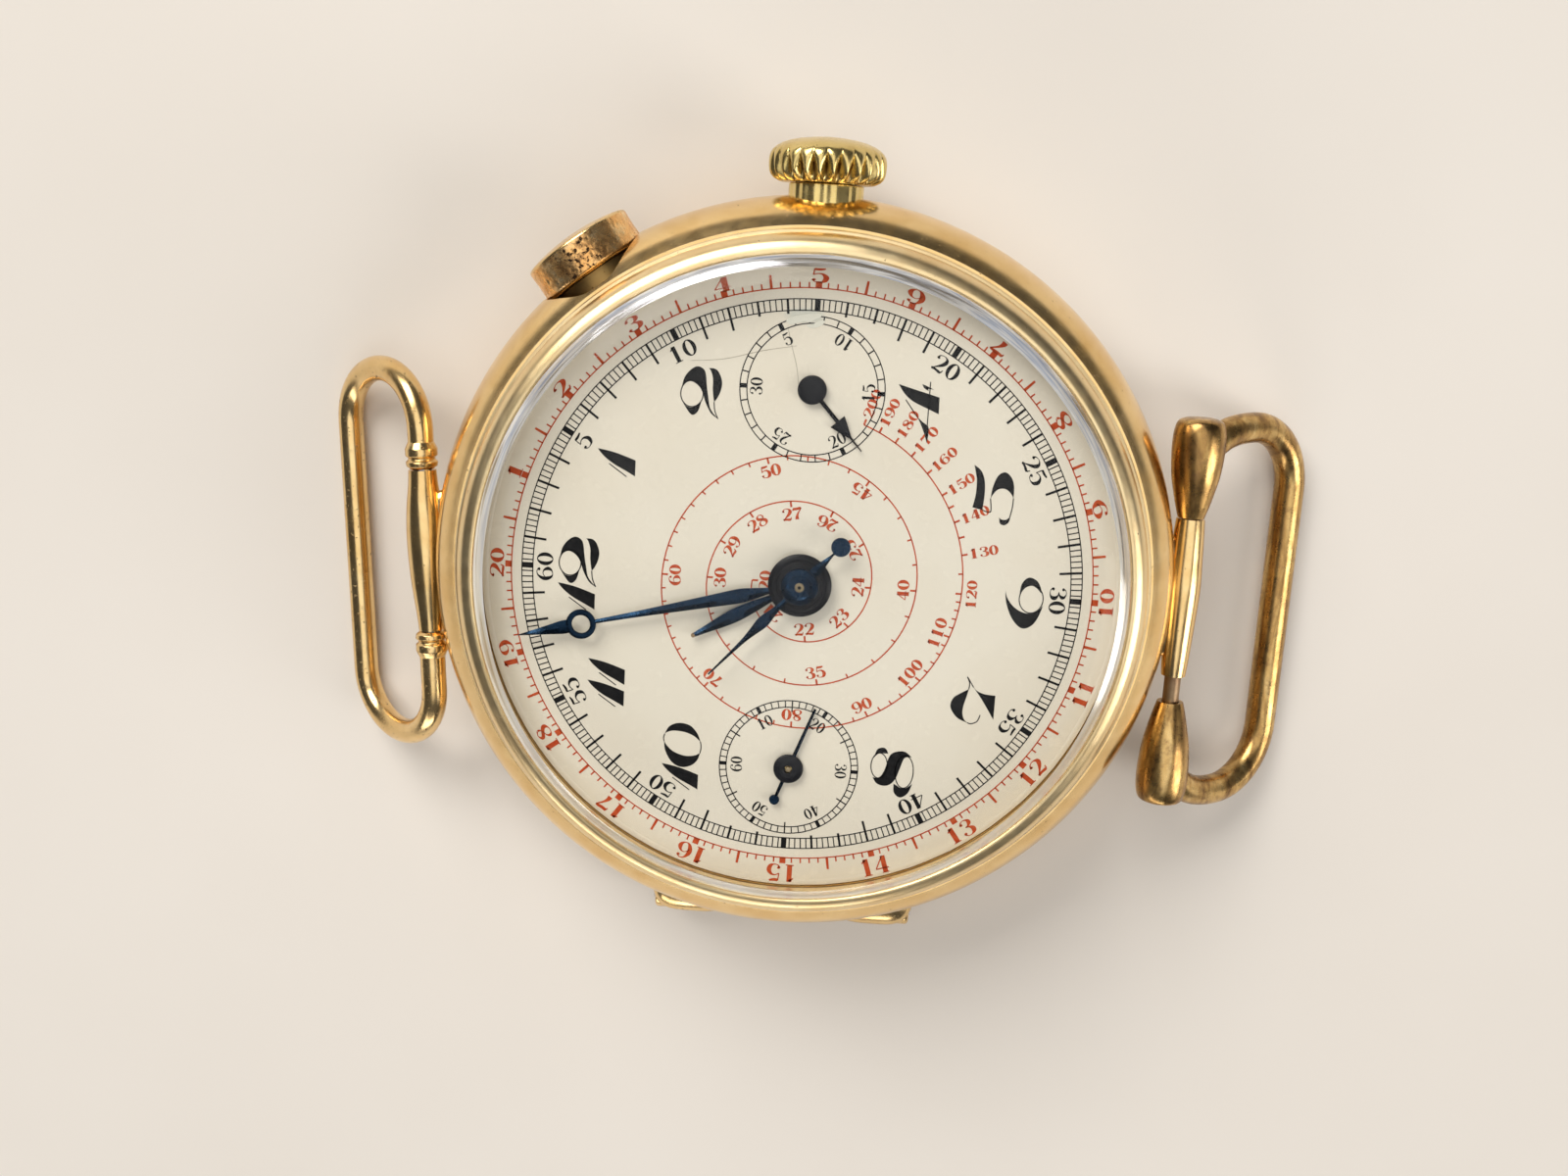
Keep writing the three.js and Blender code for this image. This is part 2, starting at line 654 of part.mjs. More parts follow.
// The centre wheel's arbor is hollow: the chronograph arbor runs through it.
add('centre_wheel', cut(
  join(
    plate(toothed(CENTRE_TEETH, 4.71, TOOTH, angleTo(CENTRE, THIRD)), 5.62, 5.8),
    plate(toothed(CENTRE_LEAVES, 0.83, 0.22, gapPhase(CENTRE, BARREL, CENTRE_LEAVES)), 4.7, 5.4),
    bar(0.38, 4.3, 8.0),
    bar(0.6, 5.4, 6.0),
  ),
  bar(0.22, 4, 9),
), brass);

addAt('third_wheel', join(
  plate(toothed(THIRD_TEETH, 4.5, TOOTH, angleTo(THIRD, FOURTH)), 4.44, 4.62),
  plate(toothed(PINION_LEAVES, 0.589, 0.26, gapPhase(THIRD, CENTRE, PINION_LEAVES)), 5.45, 6.0),
  bar(0.15, 3.6, 6.1),
), brass, THIRD);

// The fourth wheel turns once a minute. It carries the running seconds hand on the dial side and
// the chronograph's driving wheel on the other.
const DRIVING_TEETH = 36;
const COUPLING_TEETH = 21;
addAt('fourth_wheel', join(
  plate(toothed(FOURTH_TEETH, 3.9, 0.2, angleTo(FOURTH, ESCAPE)), 5.1, 5.28),
  plate(toothed(PINION_LEAVES, 0.6, 0.26, gapPhase(FOURTH, THIRD, PINION_LEAVES)), 4.3, 4.85),
  plate(toothed(DRIVING_TEETH, 3.0, 0.16, angleTo(FOURTH, COUPLING)), 2.5, 2.66),
  bar(0.17, 2.45, 8.62),
), brass, FOURTH);

// Escape wheel: club-shaped teeth that all lean the same way.
function escapeOutline() {
  const shape = new THREE.Shape();
  const teeth = 15;
  for (let i = 0; i < teeth; i++) {
    const start = (i * 360) / teeth;
    const corners = [[1.25, start], [1.25, start + 13], [1.85, start + 20], [1.85, start + 23]];
    corners.forEach(([r, a], j) => {
      const p = polar(r, a);
      shape[i + j === 0 ? 'moveTo' : 'lineTo'](p.x, p.y);
    });
  }
  shape.closePath();
  return shape;
}

addAt('escape_wheel', join(
  plate(escapeOutline(), 5.75, 5.9),
  plate(toothed(PINION_LEAVES, 0.39, 0.18, gapPhase(ESCAPE, FOURTH, PINION_LEAVES)), 4.95, 5.45),
  bar(0.12, 3.6, 6.1),
), steel, ESCAPE);

// Pallet fork: a short anchor towards the escape wheel and a lever towards the balance.
function makePalletFork() {
  const away = angleTo(PALLET, ESCAPE);
  const towards = angleTo(PALLET, BALANCE);
  const tip = new THREE.Vector2(1.9 * Math.cos(towards), 1.9 * Math.sin(towards));
  const arms = [1, -1].map((side) => {
    const elbow = away + side * deg(50);
    const end = new THREE.Vector2(1.35 * Math.cos(elbow), 1.35 * Math.sin(elbow));
    return plate(capsule(new THREE.Vector2(0, 0), end, 0.1), 5.75, 5.9, 4);
  });
  return join(
    plate(capsule(new THREE.Vector2(0, 0), tip, 0.16), 5.75, 5.9, 4), ...arms, bar(0.12, 5.45, 6.1),
  );
}

addAt('pallet_fork', makePalletFork(), steel, PALLET);

const TIMING_SCREWS = 6;

// Balance: a rim with two arms and timing screws round it.
function makeBalance() {
  const rim = turned([[3.55, 5.0], [3.9, 5.0], [3.9, 5.4], [3.55, 5.4]], 28);
  const arms = plate(capsule(new THREE.Vector2(-3.7, 0), new THREE.Vector2(3.7, 0), 0.25), 5.1, 5.3, 4);
  const timingScrews = [];
  for (let i = 0; i < TIMING_SCREWS; i++) {
    const screw = alongX(bar(0.16, 3.8, 4.15, 5));
    timingScrews.push(screw.rotateZ((2 * Math.PI * (i + 0.5)) / TIMING_SCREWS).translate(0, 0, 5.2));
  }
  return join(rim, arms, ...timingScrews, bar(0.14, 3.6, 6.1), bar(0.5, 5.6, 5.7));
}

addAt('balance_wheel', makeBalance(), brass, BALANCE);

// Flat hairspring, a ribbon along an Archimedean spiral.
function makeHairspring() {
  const turns = 3;
  const perTurn = 16;
  const half = 0.035;
  const spiral = (i, side) => polar(0.45 + (1.75 * i) / (turns * perTurn) + side * half, (i * 360) / perTurn);
  const shape = new THREE.Shape();
  for (let i = 0; i <= turns * perTurn; i++) {
    const p = spiral(i, 1);
    shape[i === 0 ? 'moveTo' : 'lineTo'](p.x, p.y);
  }
  for (let i = turns * perTurn; i >= 0; i--) {
    const p = spiral(i, -1);
    shape.lineTo(p.x, p.y);
  }
  shape.closePath();
  return plate(shape, 4.55, 4.75);
}

addAt('hairspring', makeHairspring(), bluedSteel, BALANCE);

addAt('ratchet_wheel', plate(toothed(28, 2.55, 0.26, 0, 0.3), 3.12, 3.4), steel, BARREL);
addAt('crown_wheel', plate(toothed(22, 1.82, 0.24, 0, 0.3), 3.12, 3.4), steel, CROWN_WHEEL);

// ---------------------------------------------------------------- chronograph works
const RECORDER_TEETH = 30;
const IDLER_TEETH = 28;

// Chronograph runner: fine-toothed wheel, heart cam and the long arbor of the sweep hand.
function heartOutline() {
  const shape = new THREE.Shape();
  const steps = 10;
  for (let i = -steps; i < steps; i++) {
    const p = polar(0.42 + (0.6 * Math.abs(i)) / steps, (i * 180) / steps);
    shape[i === -steps ? 'moveTo' : 'lineTo'](p.x, p.y);
  }
  shape.closePath();
  return shape;
}

add('chronograph_runner', join(
  plate(toothed(40, 3.4, 0.16), 2.5, 2.66), plate(heartOutline(), 2.66, 2.95), bar(0.15, 2.25, 9.6),
), brass);
addAt('minute_recorder_wheel', join(
  plate(toothed(RECORDER_TEETH, 2.4, 0.2, angleTo(RECORDER, IDLER)), 2.85, 3.0), bar(0.17, 2.25, 8.62),
), brass, RECORDER);
addAt('recorder_idler', join(
  plate(toothed(IDLER_TEETH, 2.24, 0.2, gapPhase(IDLER, RECORDER, IDLER_TEETH)), 2.85, 3.0),
  bar(0.15, 2.25, 3.35),
), brass, IDLER);
addAt('coupling_wheel', cut(
  join(
    plate(toothed(COUPLING_TEETH, 1.7, 0.16, gapPhase(COUPLING, FOURTH, COUPLING_TEETH)), 2.5, 2.66),
    bar(0.4, 2.44, 2.9),
  ),
  bar(0.2, 2, 3.2),
), brass, COUPLING);
add('coupling_lever', join(
  plate(capsule(FOURTH, COUPLING, 0.7), 2.1, 2.38, 8),
  at(bar(0.16, 2.3, 3.0), COUPLING.x, COUPLING.y),
), steel);

const HAMMER = new THREE.Vector2(3.6, -5.0);
add('reset_hammer', join(
  plate(capsule(HAMMER, new THREE.Vector2(2.0, -0.3), 0.42), 2.72, 2.95, 6),
  at(bar(0.7, 2.6, 3.35, 14), HAMMER.x, HAMMER.y),
), steel);

// Column wheel: six columns over a ratchet, worked by the operating lever.
function makeColumnWheel() {
  const columns = [];
  for (let i = 0; i < 6; i++) {
    columns.push(plate(sector(0.75, 1.45, i * 60, i * 60 + 30), 2.0, 3.0, 2));
  }
  return join(
    bar(1.45, 2.9, 3.3, 12), ...columns, bar(0.45, 3.2, 6.1, 8),
    plate(toothed(6, 1.2, 0.5), 4.7, 5.05),
  );
}

addAt('column_wheel', makeColumnWheel(), steel, COLUMN);

const LEVER_PIVOT = new THREE.Vector2(-5.4, 13.6);
add('operating_lever', join(
  plate(capsule(LEVER_PIVOT, new THREE.Vector2(-11.6, 8.65), 0.42), 4.75, 5.4, 6),
  at(bar(0.6, 4.6, 6.0, 14), LEVER_PIVOT.x, LEVER_PIVOT.y),
), steel);

function makeChronographBridge() {
  const footA = new THREE.Vector2(3.7, 5.3);
  const footB = new THREE.Vector2(4.7, -0.4);
  const arm = (a, b) => plate(capsule(a, b, 0.95), 1.7, 2.2, 5);
  const foot = (p) => at(bar(0.8, 2.1, BRIDGE_BOTTOM - GAP), p.x, p.y);
  return join(arm(CENTRE, RECORDER), arm(IDLER, footA), arm(CENTRE, footB), foot(footA), foot(footB));
}

add('chronograph_bridge', makeChronographBridge(), nickel);

// ---------------------------------------------------------------- hands and motion works
// Every hand is drawn pointing along +Y of its own group and turned to the time it shows.
function handGroup(place, clockDegrees) {
  const group = new THREE.Group();
  group.position.set(place.x, place.y, 0);
  group.rotation.z = deg(90 - clockDegrees);
  watch.add(group);
  return group;
}

// A tapering blade along +Y from [y, half width] pairs.
function blade(widths, z0, z1) {
  const shape = new THREE.Shape();
  widths.forEach(([y, w], i) => shape[i === 0 ? 'moveTo' : 'lineTo'](w, y));
  [...widths].reverse().forEach(([y, w]) => {
    if (w > 0) {
      shape.lineTo(-w, y);
    }
  });
  shape.closePath();
  return plate(shape, z0, z1);
}

const HOUR_Z = [8.75, 8.9];
const MINUTE_Z = [9.05, 9.2];
const SWEEP_Z = [9.45, 9.57];
const SMALL_Z = [8.68, 8.8];

const hourGroup = handGroup(CENTRE, 330.2);
add('hour_hand', cut(
  join(blade([[0.8, 0.16], [1.7, 0.22], [3.6, 0.43], [5.2, 0.2], [6.0, 0.11]], ...HOUR_Z),
    bar(1.45, ...HOUR_Z, 24)),
  bar(0.72, 8, 10, 20),
), bluedSteel, hourGroup);
add('hour_wheel', cut(
  join(plate(toothed(22, 2.5, 0.26), 7.28, 7.5), bar(0.92, 7.28, HOUR_Z[0] - 0.03, 14)),
  bar(0.7, 7, 10, 14),
), brass, hourGroup);

const minuteGroup = handGroup(CENTRE, 345.9);
const MINUTE_RING = 11.34;
add('minute_hand', cut(
  join(
    blade([[0.8, 0.15], [1.6, 0.16], [3.1, 0.37], [8.0, 0.17], [10.8, 0.1], [12.0, 0.1]], ...MINUTE_Z),
    at(bar(0.77, ...MINUTE_Z, 24), 0, MINUTE_RING),
    blade([[11.9, 0.2], [12.5, 0.32], [14.5, 0]], ...MINUTE_Z),
    turned([[0, 9.0], [1.66, 9.0], [1.66, 9.22], [1.3, 9.34], [0, 9.34]], 24),
  ),
  at(bar(0.47, 8, 10, 20), 0, MINUTE_RING),
  bar(0.42, 8, 10, 16),
), blackSteel, minuteGroup);
add('cannon_pinion', cut(
  bar(0.64, 7.2, 8.96, 14), bar(0.42, 7, 10, 14),
), steel, minuteGroup);

const sweepGroup = handGroup(CENTRE, 312);
add('sweep_hand', cut(
  join(
    blade([[0, 0.14], [1.6, 0.12], [2.6, 0.3], [3.6, 0.12], [6.5, 0.05]], ...SWEEP_Z),
    blade([[-3.1, 0.1], [-1.0, 0.08], [0, 0.12]], ...SWEEP_Z),
    at(bar(0.48, ...SWEEP_Z, 16), 0, -2.9),
    turned([[0, 9.42], [0.95, 9.42], [0.95, 9.62], [0.7, 9.74], [0, 9.74]], 20),
  ),
  bar(0.19, 8, 9.65, 12),
), bluedSteel, sweepGroup);

const secondsGroup = handGroup(FOURTH, 110);
add('small_seconds_hand', cut(
  join(
    blade([[0, 0.1], [3.5, 0.08]], ...SMALL_Z),
    blade([[-1.8, 0.08], [0, 0.1]], ...SMALL_Z),
    at(bar(0.27, ...SMALL_Z, 12), 0, -1.84),
    turned([[0, 8.66], [0.78, 8.66], [0.78, 8.82], [0.5, 8.9], [0, 8.9]], 18),
  ),
  bar(0.21, 8, 8.75),
), bluedSteel, secondsGroup);

const recorderGroup = handGroup(RECORDER, 227.6);
add('recorder_hand', cut(
  join(
    blade([[0, 0.12], [2.05, 0.1], [2.05, 0.45], [3.0, 0.07], [3.9, 0.03]], ...SMALL_Z),
    turned([[0, 8.66], [0.73, 8.66], [0.73, 8.82], [0.5, 8.9], [0, 8.9]], 18),
  ),
  bar(0.21, 8, 8.75),
), blackSteel, recorderGroup);

export default watch;
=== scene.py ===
import json
import math

import bmesh
import bpy
from mathutils import Matrix, Vector, noise
from mathutils.geometry import tessellate_polygon


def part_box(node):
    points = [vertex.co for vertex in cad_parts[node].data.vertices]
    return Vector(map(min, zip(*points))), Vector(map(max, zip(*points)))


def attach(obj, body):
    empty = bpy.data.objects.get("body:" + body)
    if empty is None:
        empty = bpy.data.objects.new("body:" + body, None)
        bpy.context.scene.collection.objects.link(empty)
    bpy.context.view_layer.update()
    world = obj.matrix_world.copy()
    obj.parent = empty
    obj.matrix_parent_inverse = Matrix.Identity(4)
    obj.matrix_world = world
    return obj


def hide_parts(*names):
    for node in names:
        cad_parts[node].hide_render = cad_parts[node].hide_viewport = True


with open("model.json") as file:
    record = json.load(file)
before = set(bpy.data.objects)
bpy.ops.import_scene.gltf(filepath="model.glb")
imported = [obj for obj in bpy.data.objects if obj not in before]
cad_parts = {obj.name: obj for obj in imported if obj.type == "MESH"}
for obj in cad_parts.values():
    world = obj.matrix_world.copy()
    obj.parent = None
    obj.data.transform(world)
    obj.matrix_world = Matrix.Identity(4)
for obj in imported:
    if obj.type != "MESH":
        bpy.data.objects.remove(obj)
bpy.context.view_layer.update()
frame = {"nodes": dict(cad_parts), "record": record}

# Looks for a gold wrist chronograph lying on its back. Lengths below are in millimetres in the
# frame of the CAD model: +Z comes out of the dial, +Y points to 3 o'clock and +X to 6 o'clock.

MM = 0.001

BODY_OF = {
    node: body
    for body, nodes in frame["record"]["behaviour"]["bodies"].items()
    for node in nodes
}


# ------------------------------------------------------------------ sizes shared with the CAD
def span(node, axis):
    """Lowest and highest coordinate of a CAD node along an axis, in millimetres."""
    low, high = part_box(node)
    return low[axis] / MM, high[axis] / MM


Y, Z = 1, 2        # the axes' places in a corner of a box
AXIS_Z = 0.5 * sum(span("crown", Z))        # height of the stem, the pusher and the strap bars
DIAL_Z = span("dial", Z)[1]
BAND_TOP = span("case_band", Z)[1]
CRYSTAL_TOP = span("crystal", Z)[1]
CROWN_START, CROWN_END = span("crown", Y)

SUBDIAL_Y = 9.8
PUSHER_ANGLE = math.radians(37.5)
HINGE_Y, HINGE_Z, HINGE_R = -19.75, 2.2, 0.75
HINGE_BORE, HINGE_WEB_END = 0.39, -17.2
ROUND = 288        # sides of the large rings
PRINT_LOW, PRINT_TOP = DIAL_Z - 0.006, DIAL_Z + 0.012    # the dial's raised ink
FULL = 360.0


# ------------------------------------------------------------------ mesh helpers
class Solid:
    """Closed shells gathered for one piece, in millimetres, each with a material number."""

    def __init__(self):
        self.verts = []
        self.faces = []
        self.numbers = []

    def add(self, shell, matrix=None, number=0):
        verts, faces = shell
        first = len(self.verts)
        for v in verts:
            self.verts.append(matrix @ Vector(v) if matrix else Vector(v))
        self.faces.extend([tuple(first + i for i in face) for face in faces])
        self.numbers.extend([number] * len(faces))
        return self

    def moved(self, matrix):
        self.verts = [matrix @ v for v in self.verts]
        return self

    def mesh(self, name):
        data = bpy.data.meshes.new(name)
        data.from_pydata([v * MM for v in self.verts], [], self.faces)
        data.polygons.foreach_set("material_index", self.numbers)
        shell = bmesh.new()
        shell.from_mesh(data)
        bmesh.ops.recalc_face_normals(shell, faces=shell.faces)
        shell.to_mesh(data)
        shell.free()
        return data


def added(name, data):
    """A new object in the scene."""
    obj = bpy.data.objects.new(name, data)
    bpy.context.scene.collection.objects.link(obj)
    return obj


def piece(name, solid, node, materials, sharp=45.0, replaces=True):
    """Makes one visible object that rides with a CAD node's body and stands for that node."""
    obj = added(name, solid.mesh(name) if isinstance(solid, Solid) else solid)
    for material in materials:
        obj.data.materials.append(material)
    obj.data.shade_smooth()
    obj.data.set_sharp_from_angle(angle=math.radians(sharp))
    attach(obj, BODY_OF[node])
    if replaces:
        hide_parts(node)


def catmull(points, steps, closed=False):
    """A smooth curve through points of any dimension."""
    count = len(points)
    if count < 3:
        return [tuple(p) for p in points]
    out = []
    for i in range(count if closed else count - 1):
        a, b, c, d = (
            points[k % count] if closed else points[min(max(k, 0), count - 1)]
            for k in (i - 1, i, i + 1, i + 2)
        )
        for s in range(steps):
            t = s / steps
            out.append(tuple(
                0.5 * (2 * q + (r - p) * t + (2 * p - 5 * q + 4 * r - u) * t * t
                       + (3 * q - p - 3 * r + u) * t ** 3)
                for p, q, r, u in zip(a, b, c, d)
            ))
    if not closed:
        out.append(tuple(points[-1]))
    return out


def steps_round(count):
    """Equal steps round a circle, in radians."""
    return [2 * math.pi * s / count for s in range(count)]


def fillet(points, steps=3):
    """Rounds the corners of a closed profile; a point's third number is its radius."""
    out = []
    for i, point in enumerate(points):
        here = Vector(point[:2])
        radius = point[2] if len(point) > 2 else 0
        if not radius:
            out.append(tuple(here))
            continue
        back = Vector(points[i - 1][:2]) - here
        on = Vector(points[(i + 1) % len(points)][:2]) - here
        half = 0.5 * back.angle(on)
        reach = min(radius / math.tan(half), 0.48 * back.length, 0.48 * on.length)
        start, end = here + back.normalized() * reach, here + on.normalized() * reach
        for s in range(steps + 1):
            t = s / steps
            out.append(tuple(start * (1 - t) ** 2 + here * (2 * t * (1 - t)) + end * t * t))
    return out


def lathe(profile, segments=48, shape=None):
    """Turns a closed profile of (radius, height) about Z. `shape` may move each point."""
    verts, rings = [], []
    for r, z in profile:
        if r < 1e-6:
            rings.append([len(verts)])
            verts.append((0, 0, z))
            continue
        ring = []
        for a in steps_round(segments):
            rr, zz = shape(r, z, a) if shape else (r, z)
            ring.append(len(verts))
            verts.append((rr * math.cos(a), rr * math.sin(a), zz))
        rings.append(ring)
    faces = []
    for i, ring in enumerate(rings):
        other = rings[(i + 1) % len(rings)]
        if len(ring) == 1 and len(other) == 1:
            continue
        for s in range(segments):
            t = (s + 1) % segments
            if len(ring) == 1:
                faces.append((ring[0], other[s], other[t]))
            elif len(other) == 1:
                faces.append((ring[s], other[0], ring[t]))
            else:
                faces.append((ring[s], other[s], other[t], ring[t]))
    return verts, faces


def turned(points, segments=48):
    """A turned shell whose profile's corners are rounded."""
    return lathe(fillet(points), segments)


def banded(shell, segments, first, end, matrix=None):
    """A turned solid whose profile rows from `first` to before `end` take a second material."""
    solid = Solid().add(shell, matrix)
    solid.numbers[first * segments:end * segments] = [1] * ((end - first) * segments)
    return solid


def loft(sections):
    """Joins equal closed sections of 3-D points and caps both ends."""
    sides = len(sections[0])
    verts = [v for section in sections for v in section]
    faces = []
    for i in range(len(sections) - 1):
        for s in range(sides):
            t = (s + 1) % sides
            faces.append((i * sides + s, i * sides + t, (i + 1) * sides + t, (i + 1) * sides + s))
    last = (len(sections) - 1) * sides
    faces.append(tuple(range(sides - 1, -1, -1)))
    faces.append(tuple(range(last, last + sides)))
    return verts, faces


def sweep(path, radius, sides=28):
    """A round wire along a path of 3-D points."""
    points = [Vector(p) for p in path]
    tangents = []
    for i in range(len(points)):
        on = points[min(i + 1, len(points) - 1)] - points[max(i - 1, 0)]
        tangents.append(on.normalized())
    side = tangents[0].orthogonal().normalized()
    sections = []
    for p, t in zip(points, tangents):
        side = (side - t * side.dot(t)).normalized()
        other = t.cross(side)
        sections.append([
            p + (side * math.cos(a) + other * math.sin(a)) * radius
            for a in steps_round(sides)
        ])
    return loft(sections)


def plate(outline, top=PRINT_TOP):
    """A patch of print with any simple outline."""
    flat = [Vector((x, y, 0)) for x, y in outline]
    count = len(flat)
    faces = []
    for a, b, c in tessellate_polygon([flat]):
        faces.append((a, b, c))
        faces.append((c + count, b + count, a + count))
    for i in range(count):
        j = (i + 1) % count
        faces.append((i, j, j + count, i + count))
    verts = [(x, y, z) for z in (top, PRINT_LOW) for x, y in outline]
    return verts, faces


def stroke(stations, steps=6, top=PRINT_TOP):
    """A printed stroke through (x, y, width) stations, with square ends."""
    line = catmull(stations, steps)
    sections = []
    for i, (x, y, width) in enumerate(line):
        before, after = line[max(i - 1, 0)], line[min(i + 1, len(line) - 1)]
        on = Vector((after[0] - before[0], after[1] - before[1]))
        on = on.normalized() if on.length > 1e-9 else Vector((1, 0))
        half = max(width, 0.004) / 2
        dx, dy = -on.y * half, on.x * half
        sections.append([(x + dx, y + dy, PRINT_LOW), (x - dx, y - dy, PRINT_LOW),
                         (x - dx, y - dy, top), (x + dx, y + dy, top)])
    return loft(sections)


def oval(cx, cy, rx, ry, width, segments, width_y=None):
    """A printed oval; `width` is its line's thickness at its sides, `width_y` at its ends."""
    width_y = width if width_y is None else width_y
    section = ((0.5, PRINT_LOW), (-0.5, PRINT_LOW), (-0.5, PRINT_TOP), (0.5, PRINT_TOP))
    verts, faces = [], []
    for s, a in enumerate(steps_round(segments)):
        c, d = math.cos(a), math.sin(a)
        for side, z in section:
            verts.append((cx + (rx + side * width) * c, cy + (ry + side * width_y) * d, z))
        for k in range(4):
            t, m = (s + 1) % segments, (k + 1) % 4
            faces.append((4 * s + k, 4 * s + m, 4 * t + m, 4 * t + k))
    return verts, faces


def smooth_outline(points, steps=5):
    """A closed outline, smooth except at the points that carry a corner mark."""
    corners = [i for i, p in enumerate(points) if len(p) > 2]
    if not corners:
        return catmull([p[:2] for p in points], steps, closed=True)
    out = []
    for n, start in enumerate(corners):
        end = corners[(n + 1) % len(corners)]
        run = [points[(start + k) % len(points)][:2]
               for k in range(((end - start - 1) % len(points)) + 2)]
        out.extend(catmull(run, steps)[:-1] if len(run) > 2 else [run[0]])
    return out


def box_shell(x0, x1, y0, y1, z0, z1):
    verts = [(x, y, z) for z in (z0, z1) for x, y in ((x0, y0), (x1, y0), (x1, y1), (x0, y1))]
    faces = [(3, 2, 1, 0), (4, 5, 6, 7)]
    faces += [(i, (i + 1) % 4, 4 + (i + 1) % 4, 4 + i) for i in range(4)]
    return verts, faces


def bevelled(shell, width, segments=3):
    """The same shell with its sharp edges rounded."""
    data = Solid().add(shell).mesh("shell")
    work = bmesh.new()
    work.from_mesh(data)
    bpy.data.meshes.remove(data)
    bmesh.ops.remove_doubles(work, verts=work.verts, dist=1e-7)
    edges = [e for e in work.edges if len(e.link_faces) == 2
             and e.calc_face_angle(0) > math.radians(30)]
    bmesh.ops.bevel(work, geom=edges, offset=width * MM, segments=segments, profile=0.5,
                    affect="EDGES", clamp_overlap=True)
    work.verts.index_update()
    verts = [tuple(v.co / MM) for v in work.verts]
    faces = [tuple(v.index for v in f.verts) for f in work.faces]
    work.free()
    return verts, faces


def subtract(solid, cutters, name):
    """The solid's mesh with every cutter shell taken away."""
    body = added(name, solid.mesh(name))
    made = []
    for i, cutter in enumerate(cutters):
        tool = added(f"cutter_{i}", Solid().add(cutter).mesh(f"cutter_{i}"))
        cut = body.modifiers.new("cut", "BOOLEAN")
        cut.operation = "DIFFERENCE"
        cut.solver = "EXACT"
        cut.object = tool
        made.append(tool)
    bpy.context.view_layer.update()
    graph = bpy.context.evaluated_depsgraph_get()
    data = bpy.data.meshes.new_from_object(body.evaluated_get(graph))
    for obj in made + [body]:
        bpy.data.objects.remove(obj)
    return data


ALONG_X = Matrix.Rotation(math.pi / 2, 4, "Y")
ALONG_Y = Matrix.Rotation(-math.pi / 2, 4, "X")
AGAINST_Y = ALONG_Y @ Matrix.Rotation(math.pi, 4, "X")
CROWN_PLACE = Matrix.Translation((0, 0, AXIS_Z)) @ ALONG_Y
PUSHER_PLACE = (Matrix.Translation((0, 0, AXIS_Z)) @ Matrix.Rotation(PUSHER_ANGLE, 4, "Z")
                @ ALONG_Y)


def moved(shell, matrix):
    verts, faces = shell
    return [tuple(matrix @ Vector(v)) for v in verts], faces


